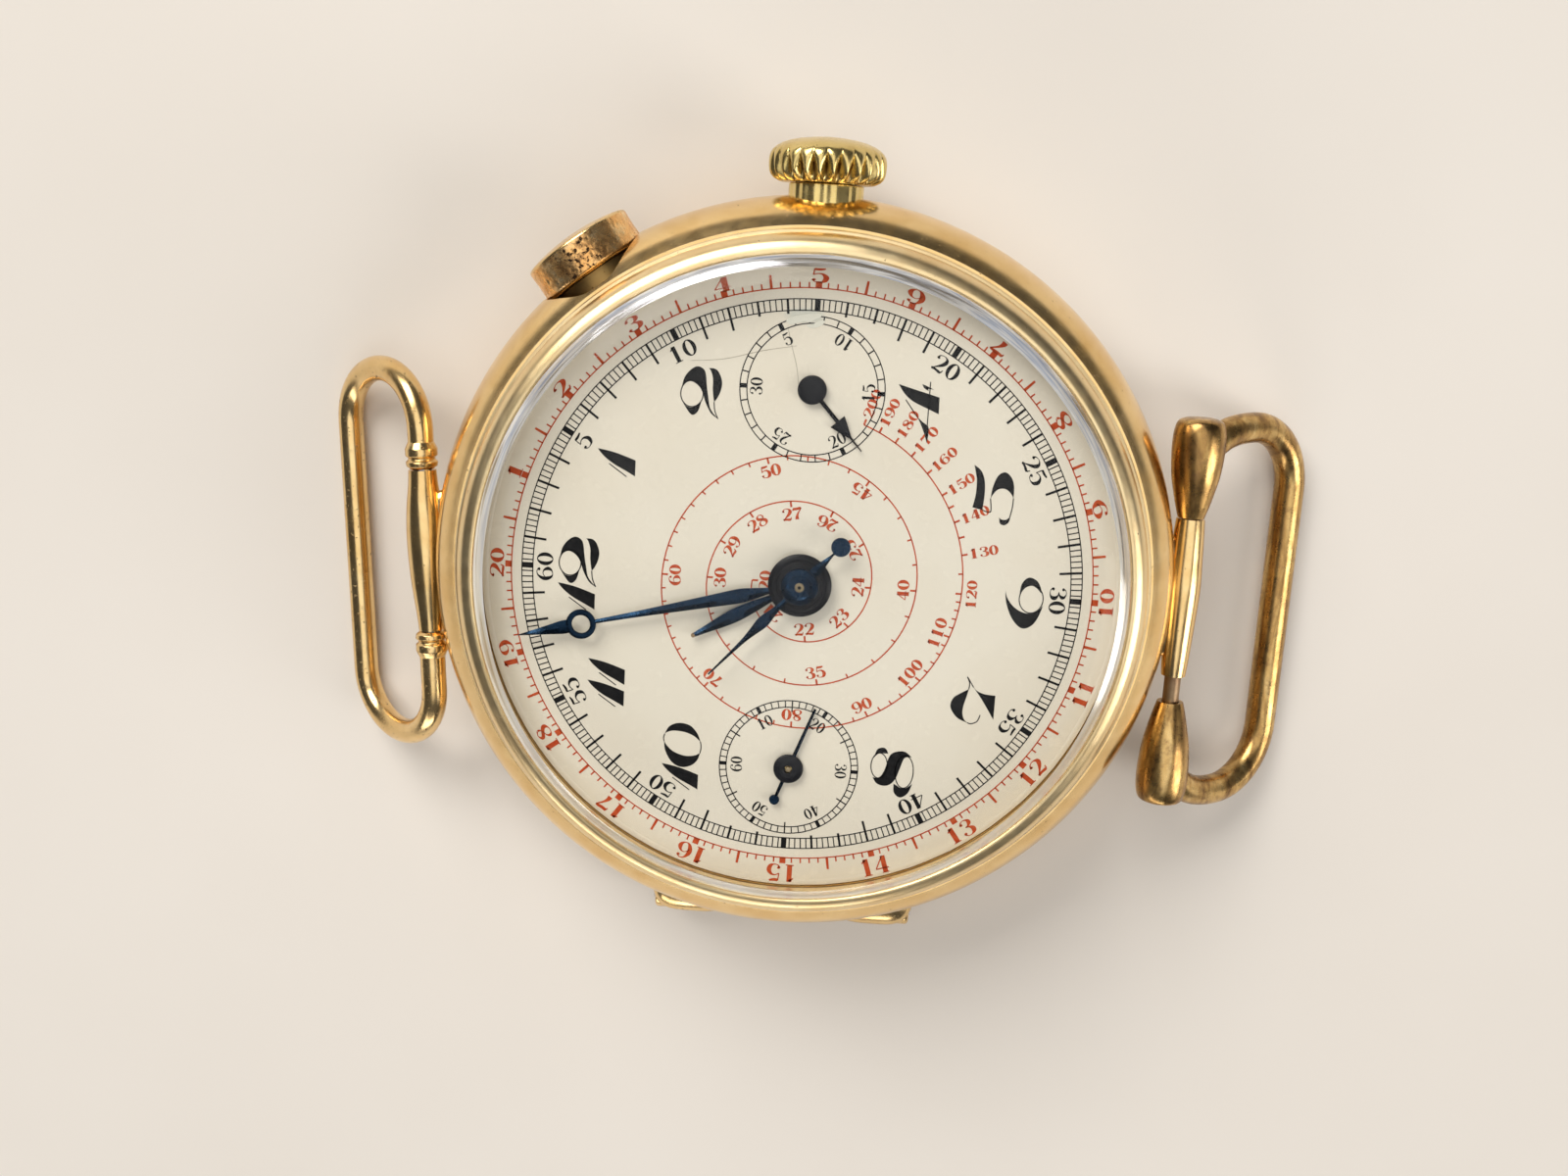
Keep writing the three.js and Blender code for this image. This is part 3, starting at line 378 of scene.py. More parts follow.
# ------------------------------------------------------------------ materials
class Paint:
    """A procedural material. Coordinates are in millimetres of the object's own frame."""

    def __init__(self, name, metallic=0.0, roughness=0.3):
        self.material = bpy.data.materials.new(name)
        self.material.use_nodes = True
        self.nodes = self.material.node_tree.nodes
        self.links = self.material.node_tree.links
        self.nodes.clear()
        self.output = self.node("OutputMaterial")
        self.shader = self.node("BsdfPrincipled", {"Metallic": metallic, "Roughness": roughness,
                                                   "IOR": 1.5})
        self.links.new(self.shader.outputs[0], self.output.inputs["Surface"])
        place = self.node("TexCoord").outputs["Object"]
        self.place = self.vector("SCALE", {0: place, "Scale": 1 / MM}).outputs[0]

    def node(self, kind, inputs=None, **settings):
        """A shader node with its settings made and its inputs set or linked."""
        node = self.nodes.new("ShaderNode" + kind)
        for name, value in settings.items():
            setattr(node, name, value)
        for name, value in (inputs or {}).items():
            if isinstance(value, bpy.types.NodeSocket):
                self.links.new(value, node.inputs[name])
            else:
                node.inputs[name].default_value = value
        return node

    def vector(self, operation, inputs):
        return self.node("VectorMath", inputs, operation=operation)

    def math(self, operation, *values, clamp=False):
        return self.node("Math", dict(enumerate(values)), operation=operation,
                         use_clamp=clamp).outputs[0]

    def stretched(self, factors, turn=(0, 0, 0)):
        """The coordinates turned and scaled, so that a pattern runs as streaks."""
        return self.node("Mapping", {"Vector": self.place, "Rotation": turn,
                                     "Scale": factors}).outputs[0]

    def round_axis(self, along, across):
        """Coordinates that change slowly round the dial's axis and quickly away from it."""
        flat = self.vector("MULTIPLY", {0: self.place, 1: (1, 1, 0)}).outputs[0]
        unit = self.vector("NORMALIZE", {0: flat}).outputs[0]
        length = self.vector("LENGTH", {0: flat}).outputs["Value"]
        parts = self.node("SeparateXYZ", {0: unit}).outputs
        return self.node("CombineXYZ", {
            0: self.math("MULTIPLY", parts[0], along),
            1: self.math("MULTIPLY", parts[1], along),
            2: self.math("MULTIPLY", length, across),
        }).outputs[0]

    def along_line(self, direction):
        """Millimetres along a direction through the origin."""
        return self.vector("DOT_PRODUCT", {0: self.place, 1: direction}).outputs["Value"]

    def noise(self, scale, detail=4.0, roughness=0.55, where=None, warp=0.0):
        return self.node("TexNoise", {"Scale": scale, "Detail": detail, "Roughness": roughness,
                                      "Distortion": warp,
                                      "Vector": where or self.place}).outputs["Fac"]

    def mask(self, low, high, amount, *pattern, **more):
        """0 where a noise is below `low`, rising to an amount where it is above `high`."""
        return self.ramp(self.noise(*pattern, **more), [(low, 0.0), (high, amount)])

    def over(self, base, colour, *mask, **more):
        """A base with patches of a second colour."""
        return self.mix(self.mask(*mask, **more), base, colour)

    def ramp(self, factor, stops):
        """Colours or grey levels at positions along a factor."""
        node = self.node("ValToRGB", {"Fac": factor})
        elements = node.color_ramp.elements
        while len(elements) < len(stops):
            elements.new(0.5)
        for element, (position, value) in zip(elements, stops):
            element.position = position
            colour = (value, value, value) if isinstance(value, (int, float)) else value
            element.color = (*colour, 1)
        return node.outputs["Color"]

    def mix(self, factor, *colours):
        """The first colour where the factor is 0, the second where it is 1."""
        a, b = (c if isinstance(c, bpy.types.NodeSocket) else (*c, 1) for c in colours)
        return self.node("Mix", {0: factor, 6: a, 7: b}, data_type="RGBA").outputs[2]

    def colour(self, socket):
        self.links.new(socket, self.shader.inputs["Base Color"])

    def rough(self, pattern, share, base):
        value = self.math("MULTIPLY_ADD", pattern, share, base, clamp=True)
        self.links.new(value, self.shader.inputs["Roughness"])

    def bump(self, *layers):
        """Layers of (height, strength, depth in millimetres), each on top of the last."""
        below = {}
        for height, strength, depth in layers:
            node = self.node("Bump", {"Strength": strength, "Distance": depth * MM,
                                      "Height": height, **below})
            below = {"Normal": node.outputs[0]}
        self.links.new(below["Normal"], self.shader.inputs["Normal"])

    def see_through(self, share, colour, over):
        """Clear glass with a share of another shader over it."""
        clear = self.node("BsdfTransparent", {"Color": (*colour, 1)})
        both = self.node("MixShader", {0: share, 1: clear.outputs[0], 2: over.outputs[0]})
        self.links.new(both.outputs[0], self.output.inputs["Surface"])


GOLD = (0.87, 0.63, 0.31)
GOLD_DEEP = (0.76, 0.49, 0.19)
GRIME = (0.10, 0.05, 0.02)


def make_gold(name, tarnish=0.25, specks=0.2, rough=0.12, bright=GOLD, deep=GOLD_DEEP):
    """Polished gold with hairline scratches, soft dents, tarnish and dark specks in pits."""
    paint = Paint(name, metallic=1.0, roughness=rough)
    base = paint.over(bright, deep, 0.35, 0.75, 1.0, 0.45, 5, 0.6, warp=0.4)
    base = paint.over(base, (0.42, 0.22, 0.08), 0.62 - 0.1 * tarnish, 0.8, tarnish, 1.3, 8, 0.65)
    low = 0.735 - 0.1 * specks
    speck = paint.mask(low, low + 0.04, min(1.0, 4 * specks), 5.5, 3, 0.5)
    paint.colour(paint.mix(speck, base, GRIME))
    scratch_a = paint.noise(2.2, 2, 0.5, paint.stretched((1.0, 14.0, 3.0), (0, 0, 0.5)))
    scratch_b = paint.noise(2.6, 2, 0.5, paint.stretched((16.0, 1.2, 3.0), (0, 0.3, -0.7)))
    fine = paint.math("ADD", scratch_a, scratch_b)
    level = paint.math("MULTIPLY_ADD", paint.noise(0.9, 6, 0.6), 0.22, rough - 0.07)
    level = paint.math("MULTIPLY_ADD", paint.ramp(fine, [(0.5, 0.0), (0.75, 1.0)]), 0.05, level)
    paint.rough(speck, 0.35, level)
    paint.bump((paint.noise(0.55, 2, 0.4), 0.25, 0.05), (fine, 0.10, 0.006), (speck, 0.6, 0.02))
    return paint.material


def make_patina():
    """The dull brown finish of the later strap loop, rubbed bright along its high line."""
    paint = Paint("patinated_gold", metallic=1.0)
    streak = paint.noise(0.8, 6, 0.6, paint.stretched((1.6, 0.28, 1.6)), warp=0.6)
    base = paint.ramp(streak, [(0.3, (0.20, 0.11, 0.045)), (0.47, (0.44, 0.26, 0.09)),
                               (0.56, (0.62, 0.40, 0.15)), (0.72, (0.78, 0.55, 0.24))])
    paint.colour(paint.over(base, (0.26, 0.15, 0.065), 0.5, 0.7, 0.75, 1.7, 7, 0.65))
    paint.rough(paint.noise(2.4, 6, 0.6), 0.3, 0.14)
    paint.bump((paint.noise(0.7, 3, 0.5), 0.3, 0.06), (paint.noise(9, 4, 0.6), 0.15, 0.01))
    return paint.material


def make_pitted():
    """The pusher's side: orange gold with brown patches and black pits across its middle."""
    paint = Paint("pitted_gold", metallic=0.95)
    across = (math.cos(PUSHER_ANGLE), math.sin(PUSHER_ANGLE), 0.0)
    aside = paint.math("ABSOLUTE", paint.along_line(across))
    zone = paint.ramp(paint.math("MULTIPLY", aside, 0.36), [(0.3, 1.0), (0.8, 0.12)])
    base = paint.ramp(paint.noise(1.1, 4, 0.6), [
        (0.35, (0.84, 0.44, 0.15)), (0.55, (0.95, 0.58, 0.24)), (0.7, (1.0, 0.76, 0.42)),
    ])
    brown = paint.mask(0.46, 0.58, 0.75, 2.1, 7, 0.7)
    base = paint.mix(paint.math("MULTIPLY", brown, zone), base, (0.26, 0.13, 0.05))
    pits = paint.math("MULTIPLY", paint.mask(0.5, 0.57, 1.0, 3.6, 6, 0.7), zone)
    paint.colour(paint.mix(pits, base, (0.035, 0.02, 0.012)))
    paint.rough(pits, 0.45, 0.27)
    paint.bump((paint.noise(2.4, 5, 0.6), 0.35, 0.05), (pits, -0.5, 0.05))
    return paint.material


def make_enamel():
    """Cream fired enamel: faint clouding, a soft glaze and a greyish patch under the touch-up."""
    paint = Paint("dial_enamel", roughness=0.24)
    base = paint.over((0.82, 0.755, 0.645), (0.79, 0.715, 0.595), 0.3, 0.7, 1.0, 0.16, 4, 0.5)
    base = paint.over(base, (0.55, 0.46, 0.33), 0.66, 0.8, 0.14, 7, 3, 0.5)
    away = []
    for middle, half, direction in ((-0.6, 1.05, (1.0, 0.0, 0.0)), (13.4, 0.42, (0.0, 1.0, 0.0))):
        share = paint.math("MULTIPLY_ADD", paint.along_line(direction), 1 / half, -middle / half)
        away.append(paint.math("POWER", share, 2.0))
    away = paint.math("ADD", *away)
    away = paint.math("ADD", away, paint.math("MULTIPLY", paint.noise(1.8, 4), 0.9))
    patch = paint.ramp(paint.math("MULTIPLY", away, 0.4), [(0.34, 0.8), (0.62, 0.0)])
    paint.colour(paint.mix(patch, base, (0.60, 0.61, 0.54)))
    paint.shader.inputs["Coat Weight"].default_value = 0.35
    paint.shader.inputs["Coat Roughness"].default_value = 0.06
    paint.rough(paint.noise(1.1, 4), 0.16, 0.18)
    paint.bump((paint.noise(0.35, 2, 0.4), 0.12, 0.05), (paint.noise(6, 3, 0.5), 0.05, 0.006))
    return paint.material


def make_ink(name, dark, light, rough=0.3):
    """Fired printing, a little uneven in its cover."""
    paint = Paint(name, roughness=rough)
    paint.shader.inputs["Specular IOR Level"].default_value = 0.12
    paint.colour(paint.over(dark, light, 0.4, 0.75, 1.0, 3.2, 4))
    paint.rough(paint.noise(2.0, 3), 0.2, rough - 0.1)
    paint.bump((paint.noise(12, 3), 0.1, 0.004))
    return paint.material


def make_flake():
    """An old touch-up of the enamel: pale, slightly green and thin at its edge."""
    paint = Paint("enamel_touch_up", roughness=0.35)
    paint.colour(paint.mix(paint.noise(2.5, 5), (0.70, 0.69, 0.60), (0.80, 0.77, 0.68)))
    paint.rough(paint.noise(3.0, 3), 0.2, 0.25)
    paint.bump((paint.noise(4.0, 4), 0.2, 0.01))
    return paint.material


def make_metal(name, first, second, rough=0.2, grain=(1.0, 1.0, 1.0), scale=3.0, depth=0.01,
               metallic=1.0, shine=0.5):
    """Machined or tempered metal; `grain` stretches its fine lines."""
    paint = Paint(name, metallic=metallic)
    paint.shader.inputs["Specular IOR Level"].default_value = shine
    paint.colour(paint.over(first, second, 0.35, 0.7, 1.0, 0.9, 5))
    lines = paint.noise(scale, 4, 0.6, paint.stretched(grain))
    paint.rough(lines, 0.25, rough - 0.08)
    paint.bump((lines, 0.2, depth))
    return paint.material


def make_glass():
    """Thin clear crystal: see-through face on, mirror-like at a glancing angle."""
    paint = Paint("clear_crystal", roughness=0.02)
    paint.nodes.remove(paint.shader)
    facing = paint.node("LayerWeight", {"Blend": 0.5}).outputs["Facing"]
    share = paint.math("POWER", facing, 5.0)
    share = paint.math("MULTIPLY_ADD", share, 0.7, 0.007, clamp=True)
    smudge = paint.ramp(paint.noise(0.8, 5, 0.6, warp=0.5), [(0.45, 0.02), (0.8, 0.14)])
    mirror = paint.node("BsdfGlossy", {"Color": (1, 1, 1, 1), "Roughness": smudge})
    paint.see_through(share, (0.985, 0.99, 0.985), mirror)
    return paint.material


def make_glass_edge():
    """The crystal's bevelled rim with painted reflections: creamy streaks, with bluish and dark
    ones on 3's side.
    """
    paint = Paint("crystal_rim_painted_reflection", metallic=0.25, roughness=0.1)
    reflection_streaks = paint.noise(1.0, 3, 0.5, paint.round_axis(2.2, 4.0))
    # Painted reflection: the side towards 3 o'clock is coloured in silver, bluish and dark streaks,
    # the other side in cream ones.
    reflection_side = paint.ramp(paint.math("MULTIPLY_ADD", paint.along_line((0.0, 1.0, 0.0)), 0.03, 0.5),
                       [(0.45, 0.0), (0.8, 1.0)])
    cream_reflection = paint.ramp(reflection_streaks, [(0.35, (0.62, 0.55, 0.42)), (0.45, (0.93, 0.89, 0.78)),
                                 (0.6, (0.96, 0.95, 0.91))])
    silver_reflection = paint.ramp(reflection_streaks, [(0.36, (0.10, 0.09, 0.09)), (0.43, (0.50, 0.52, 0.58)),
                                  (0.49, (0.93, 0.94, 0.95)), (0.56, (0.40, 0.49, 0.68)),
                                  (0.64, (0.88, 0.89, 0.90))])
    paint.colour(paint.mix(reflection_side, cream_reflection, silver_reflection))
    paint.rough(paint.ramp(reflection_streaks, [(0.3, 0.05), (0.8, 0.22)]), 1.0, 0.0)
    paint.bump((paint.noise(1.0, 2, 0.4, paint.round_axis(2.0, 0.8)), 0.15, 0.02))
    share = paint.ramp(paint.noise(1.0, 2, 0.5, paint.round_axis(2.5, 1.2)),
                       [(0.35, 0.45), (0.6, 0.85)])
    paint.see_through(share, (0.93, 0.93, 0.91), paint.shader)
    return paint.material


def make_floor_paint():
    """A plain pale surface."""
    paint = Paint("pale_floor", roughness=0.7)
    paint.colour(paint.over((0.83, 0.785, 0.73), (0.79, 0.74, 0.68), 0.3, 0.7, 1.0, 0.02, 4))
    paint.rough(paint.noise(0.5, 3), 0.1, 0.65)
    return paint.material


gold = make_gold("polished_gold")
gold_specked = make_gold("specked_gold", tarnish=0.45, specks=0.7, rough=0.15)
gold_crown = make_gold("crown_gold", tarnish=0.4, specks=0.25, rough=0.17,
                       bright=(0.80, 0.62, 0.26), deep=(0.64, 0.47, 0.16))
# Dark brown gold painted as shade: it darkens the crown's grooves, the bezel's foot round the dial
# and the pusher's collar, where shade falls.
gold_painted_shade = make_gold("painted_shade_gold", tarnish=0.9, specks=0.5, rough=0.3,
                        bright=(0.34, 0.22, 0.08), deep=(0.22, 0.13, 0.045))
# A paler, creamier copy of the polished gold: painted sheen of a pale surround reflected in the
# bezel.
gold_bezel_painted_sheen = make_gold("bezel_gold_painted_sheen", tarnish=0.2, specks=0.15, rough=0.24,
                       bright=(0.90, 0.72, 0.42), deep=(0.84, 0.61, 0.31))
gold_old = make_patina()
gold_pitted = make_pitted()
enamel = make_enamel()
black_ink = make_ink("black_print", (0.006, 0.006, 0.007), (0.016, 0.015, 0.016), 0.4)
red_ink = make_ink("red_print", (0.50, 0.062, 0.018), (0.62, 0.125, 0.045), 0.4)
touch_up = make_flake()
crack_ink = make_ink("crack_line", (0.36, 0.32, 0.25), (0.55, 0.50, 0.42), 0.5)
blue = make_metal("blued_steel", (0.012, 0.030, 0.060), (0.006, 0.013, 0.026), rough=0.24)
black = make_metal("black_steel", (0.004, 0.004, 0.006), (0.011, 0.011, 0.015), rough=0.2,
                   metallic=0.0, shine=0.16)
steel = make_metal("bright_steel", (0.60, 0.60, 0.61), (0.50, 0.50, 0.52), rough=0.2,
                   grain=(1, 12, 1), scale=4)
brown_pin = make_metal("rusty_pin", (0.26, 0.16, 0.09), (0.42, 0.30, 0.18), rough=0.4,
                       grain=(1, 5, 1), depth=0.02)
nickel = make_metal("frosted_gilt", (0.74, 0.66, 0.48), (0.66, 0.57, 0.38), rough=0.36,
                    scale=14, depth=0.012)
brass = make_metal("wheel_brass", (0.80, 0.60, 0.26), (0.70, 0.48, 0.17), rough=0.24,
                   grain=(1, 9, 1), scale=5)
pivot_brass = make_metal("worn_pivot", (0.42, 0.33, 0.20), (0.26, 0.20, 0.12), rough=0.35)
clear = make_glass()
rim_painted_reflection = make_glass_edge()
floor_paint = make_floor_paint()


# ------------------------------------------------------------------ the dial's printing
SPREAD = 0.016     # how much wider the fired ink is than the drawn line


def dial_vector(theta):
    """The direction on the dial at an angle in degrees clockwise from 12 o'clock."""
    a = math.radians(theta)
    return Vector((-math.cos(a), math.sin(a)))


def clockwise(theta):
    """The direction square to dial_vector, the way the hands go."""
    a = math.radians(theta)
    return Vector((math.sin(a), math.cos(a)))


def frame_2d(origin, right, up, wide=1.0, tall=1.0):
    """Places glyph coordinates on the dial."""
    return Matrix((
        (right.x * wide, up.x * tall, 0, origin[0]),
        (right.y * wide, up.y * tall, 0, origin[1]),
        (0, 0, 1, 0),
        (0, 0, 0, 1),
    ))


def tick(solid, centre, theta, r0, r1, width, width_end=None):
    """A straight mark along a radius of a scale."""
    out = dial_vector(theta)
    a = Vector(centre) + out * r0
    b = Vector(centre) + out * r1
    width_end = width if width_end is None else width_end
    solid.add(stroke([(a.x, a.y, width + SPREAD), (b.x, b.y, width_end + SPREAD)]))


def circle(solid, centre, radius, width, segments=240):
    """A round line of a scale."""
    solid.add(oval(*centre, radius, radius, width + SPREAD, segments))


def scale(solid, centre, count, *kinds):
    """Marks round a circle: of each kind (every how many, radii, widths) the first that fits."""
    for i in range(count):
        mark = next(kind[1:] for kind in kinds if i % kind[0] == 0)
        tick(solid, centre, i * FULL / count, *mark)


# Strokes of small serif numerals in a box one unit tall: (x, y, width) stations, and discs.
SIX = [
    [(.21, .88, .05), (.08, .985, .03), (-.1, .9, .06), (-.22, .62, .12), (-.22, .34, .13),
     (-.13, .08, .08), (.02, .015, .03), (.17, .12, .08), (.22, .32, .12), (.15, .54, .07),
     (0, .61, .03), (-.14, .5, .03), (-.2, .36, .03)],
]
DIGITS = {
    "1": ([[(0, .02, .14), (0, .98, .14)], [(-.17, .77, .03), (0, .94, .09)],
           [(-.17, .017, .035), (.17, .017, .035)]], []),
    "2": ([[(-.22, .72, .07), (-.17, .9, .04), (0, .985, .03), (.17, .9, .08), (.21, .73, .13),
            (.13, .5, .12), (-.08, .22, .05), (-.23, .04, .03)],
           [(-.23, .05, .1), (-.05, .08, .1), (.12, .05, .12), (.22, .04, .1)],
           [(.22, .04, .04), (.26, .24, .03)]], [(-.19, .75, .07)]),
    "3": ([[(-.2, .8, .06), (-.12, .95, .03), (.03, .985, .03), (.17, .88, .09), (.18, .72, .12),
            (.08, .58, .06), (-.05, .54, .03)],
           [(-.05, .54, .03), (.1, .5, .06), (.22, .34, .13), (.2, .14, .12), (.05, .02, .04),
            (-.12, .04, .03), (-.22, .18, .06)]], [(-.17, .79, .07), (-.18, .2, .07)]),
    "4": ([[(.08, .98, .035), (-.27, .28, .035)], [(-.27, .27, .04), (.27, .27, .04)],
           [(.1, .02, .14), (.1, .98, .14)], [(-.04, .017, .035), (.24, .017, .035)]], []),
    "5": ([[(-.17, .95, .03), (-.2, .52, .03)], [(-.17, .92, .1), (0, .9, .11), (.2, .95, .06)],
           [(-.2, .52, .03), (-.05, .62, .04), (.12, .58, .08), (.23, .36, .13), (.17, .1, .11),
            (.02, .015, .04), (-.14, .05, .03), (-.22, .2, .06)]], [(-.18, .2, .07)]),
    "6": (SIX, [(.18, .84, .07)]),
    "7": ([[(-.24, .91, .13), (-.05, .9, .13), (.14, .94, .12), (.25, .95, .08)],
           [(.25, .95, .04), (.05, .55, .06), (-.04, .25, .11), (-.05, .02, .14)],
           [(-.24, .95, .03), (-.26, .74, .03)]], []),
    "8": ([[(.17, .86, .05), (0, .985, .03), (-.16, .88, .08), (-.15, .7, .12), (.02, .55, .13),
            (.18, .38, .13), (.2, .17, .1), (.05, .02, .04), (-.14, .05, .04), (-.23, .2, .08),
            (-.17, .4, .05), (.02, .53, .03), (.15, .65, .05), (.18, .82, .06)]], []),
    "9": ([[(-x, 1 - y, w) for x, y, w in stroke] for stroke in SIX], [(-.18, .16, .07)]),
    "0": ([], []),
}


def digit(solid, name, matrix, bold):
    """One small numeral. The matrix takes its unit box to the dial; `bold` widens its strokes."""
    lines, discs = DIGITS[name]
    for line in lines:
        heavy = [(x, y, w * bold) for x, y, w in line]
        solid.add(stroke(heavy, 5 if len(line) > 2 else 1), matrix)
    for x, y, r in discs:
        disc = [(x + r * math.cos(a), y + r * math.sin(a)) for a in steps_round(10)]
        solid.add(plate(disc), matrix)
    if name == "0":
        solid.add(oval(0, .5, .205, .47, .13 * bold, 24, .04 * bold), matrix)


def number(solid, text, place, right, up, tall, wide, bold):
    """A row of small numerals centred on a place; `wide` is one numeral's share of the row."""
    for i, name in enumerate(str(text)):
        along = (i - 0.5 * (len(str(text)) - 1)) * wide
        origin = Vector(place) + right * along - up * (0.5 * tall)
        digit(solid, name, frame_2d(origin, right, up, wide * 1.55, tall), bold)


def round_number(solid, text, centre, theta, radius, tall, wide, inward=False, bold=1.25):
    """A number square to the radius, with its top outwards or inwards."""
    up, right = dial_vector(theta), clockwise(theta)
    place = Vector(centre) + up * radius
    if inward:
        up, right = -up, -right
    number(solid, text, place, right, up, tall, wide, bold)


def reads_inward(theta):
    """Scales turn their numerals over in the half of the dial between 3 and 9 o'clock."""
    return 90.0 < theta % FULL < 270.0


CENTRE = (0.0, 0.0)
RECORDER = (0.0, SUBDIAL_Y)
SECONDS = (0.0, -SUBDIAL_Y)
C = True       # marks a corner of an outline
HAIR = 0.05    # the hour numerals' thin lines

# Hour numerals: solid outlines, thin lines (x, y points) and thin ovals (x, y, rx, ry).
STROKE_1 = [(.6, 1.05, C), (.35, .85), (.05, .5), (-.2, .1), (-.45, -.4), (-.7, -.87, C),
            (.1, -.87, C), (.3, -.3), (.45, .2), (.55, .7)]
HOURS = {
    "1": ([STROKE_1], [[(-.74, -.44), (-.13, .46)]], []),
    "2": ([
        [(-.58, .89, C), (-1.15, .46), (-1.0, .14), (-.5, -.02, C), (-.79, .36), (-.76, .68)],
        [(.17, .98, C), (.67, .86), (1.06, .57), (1.24, .25), (1.14, -.04), (.89, -.18),
         (.31, -.26), (-.26, -.36), (-.83, -.5), (-1.29, -.89, C), (-1.04, -.54), (-.54, -.25),
         (-.04, -.07), (.28, .14), (.49, .5), (.39, .79)],
        [(-.47, -.66, C), (.1, -.57), (.67, -.55), (1.06, -.43), (1.19, -.32, C), (1.17, -.64),
         (.96, -.86), (.53, -1.01), (.1, -.96), (-.26, -.81)],
    ], [[(-1.29, -.89), (-.9, -.72), (-.47, -.66)]], [(-.11, .46, .66, .56)]),
    "4": ([
        [(1.3, 1.05, C), (.87, .75), (.51, .32), (.23, -.32), (-.06, -1.02, C), (.76, -1.0, C),
         (.94, -.32), (1.16, .54)],
        [(-1.52, -.54, C), (-1.06, -.59), (-.71, -.55), (-.49, -.25), (-.27, 0, C), (-.77, -.25),
         (-1.2, -.43)],
        [(1.37, -.1, C), (1.17, -.22), (1.05, -.45, C), (1.15, -.42), (1.13, -.7, C),
         (1.28, -.35)],
    ], [[(-.3, 0), (.55, .65)], [(-.7, -.5), (1.5, -.5)]], []),
    "5": ([
        [(-.69, .93, C), (-.04, .82), (.67, .82), (1.17, .93), (1.44, 1.0, C), (1.17, .64),
         (.67, .43), (-.04, .38), (-.79, .43, C)],
        [(-.19, .07, C), (.39, 0), (.96, -.21), (1.17, -.54), (.96, -.86), (.53, -1.04),
         (-.11, -1.07, C), (.17, -.89), (.35, -.57), (.28, -.25), (.03, -.04)],
        [(-1.11, -.44, C), (-1.4, -.5), (-1.49, -.71), (-1.33, -.93), (-1.04, -.99, C),
         (-1.2, -.82), (-1.22, -.64), (-1.19, -.52)],
    ], [[(-.79, .43), (-.88, .15), (-.8, 0), (-.19, .07)], [(-.11, -1.07), (-.6, -1.05),
        (-1.11, -.96)]], []),
    "6": ([
        [(.51, 1.01, C), (-.06, .93), (-.77, .64), (-1.24, .25), (-1.36, -.11), (-1.13, -.5),
         (-.7, -.75), (-.13, -.93, C), (-.41, -.68), (-.57, -.25), (-.49, .18), (-.24, .57),
         (.16, .89)],
        [(.34, .29, C), (.87, .24), (1.19, .04), (1.28, -.21), (1.12, -.54), (.8, -.74),
         (.51, -.79, C), (.76, -.54), (.89, -.25), (.8, .04), (.59, .21)],
    ], [], [(.18, -.31, .72, .6)]),
    "7": ([
        [(-1.22, .17, C), (-1.01, .67), (-.65, .99), (-.33, 1.1), (.06, .97), (.31, .64),
         (.56, .23, C), (.17, .31), (-.26, .42), (-.69, .46), (-1.04, .35)],
        [(-.96, -1.15, C), (.31, -1.15, C), (.35, -.61), (.49, -.22), (.67, -.01, C),
         (.17, -.4), (-.4, -.79)],
    ], [[(-1.22, .17), (-1.26, -.04), (-1.11, -.33), (-.76, -.46)],
        [(.56, .23), (.89, .21), (1.21, .35)], [(.67, -.01), (1.0, .2), (1.21, .35)]], []),
    "8": ([
        [(-.34, 1.1, C), (-.63, .92), (-.76, .64), (-.74, .31), (-.56, .06), (-.27, -.11),
         (.3, -.29), (.8, -.47), (.87, -.83, C), (1.12, -.51), (1.14, -.19), (1.01, .17),
         (.73, .35), (.16, .49), (-.24, .67), (-.38, .89)],
        [(.73, 1.1, C), (1.16, .96), (1.28, .67), (1.19, .49), (.98, .39, C), (.98, .6),
         (.94, .89)],
        [(-.63, -.01, C), (-1.06, -.04), (-1.31, -.26), (-1.31, -.51), (-1.06, -.79),
         (-.56, -.97, C), (-.81, -.69), (-.84, -.4), (-.7, -.15)],
    ], [], [(.3, .81, .68, .42), (.05, -.51, .88, .47)]),
    "0": ([
        [(.71, .99, C), (.17, .89), (-.4, .53), (-.63, .03), (-.51, -.47), (-.19, -.79),
         (.19, -.91, C), (.03, -.61), (-.01, -.11), (.17, .46), (.46, .81)],
        [(1.1, .97, C), (1.53, .74), (1.74, .24), (1.64, -.33), (1.24, -.72), (.8, -.91, C),
         (1.1, -.54), (1.28, -.04), (1.31, .53), (1.21, .85)],
    ], [[(.71, .99), (.9, 1.02), (1.1, .97)], [(.19, -.91), (.5, -.95), (.8, -.91)]], []),
}
# Each hour: its place on the dial and its numerals with their shifts along the row.
HOUR_PLACES = [
    (-11.3, -.2, [("1", -1.2), ("2", .58)]), (-9.5, 5.6, [("1", 0)]), (-5.5, 9.35, [("2", 0)]),
    (5.3, 9.05, [("4", 0)]), (9.3, 5.15, [("5", 0)]), (11.4, -.2, [("6", 0)]),
    (9.2, -5.5, [("7", 0)]), (5.5, -9.65, [("8", 0)]), (-5.55, -9.55, [("1", -1.1), ("0", 0)]),
    (-9.6, -5.9, [("1", -.53), ("1", .62)]),
]


def print_hours(solid):
    for x, y, names in HOUR_PLACES:
        for name, shift in names:
            place = frame_2d((x, y + shift), Vector((0, 1)), Vector((-1, 0)))
            outlines, hairs, ovals = HOURS[name]
            for outline in outlines:
                solid.add(plate(smooth_outline(outline)), place)
            for hair in hairs:
                solid.add(stroke([(a, b, HAIR) for a, b in hair]), place)
            for shape in ovals:
                solid.add(oval(*shape, HAIR, 40), place)


TRACK_IN, TRACK_OUT = 13.66, 14.22
MINUTE_NUMERALS = (5, 10, 20, 25, 30, 35, 40, 50, 55, 60)    # 15 and 45 give way to sub-dials


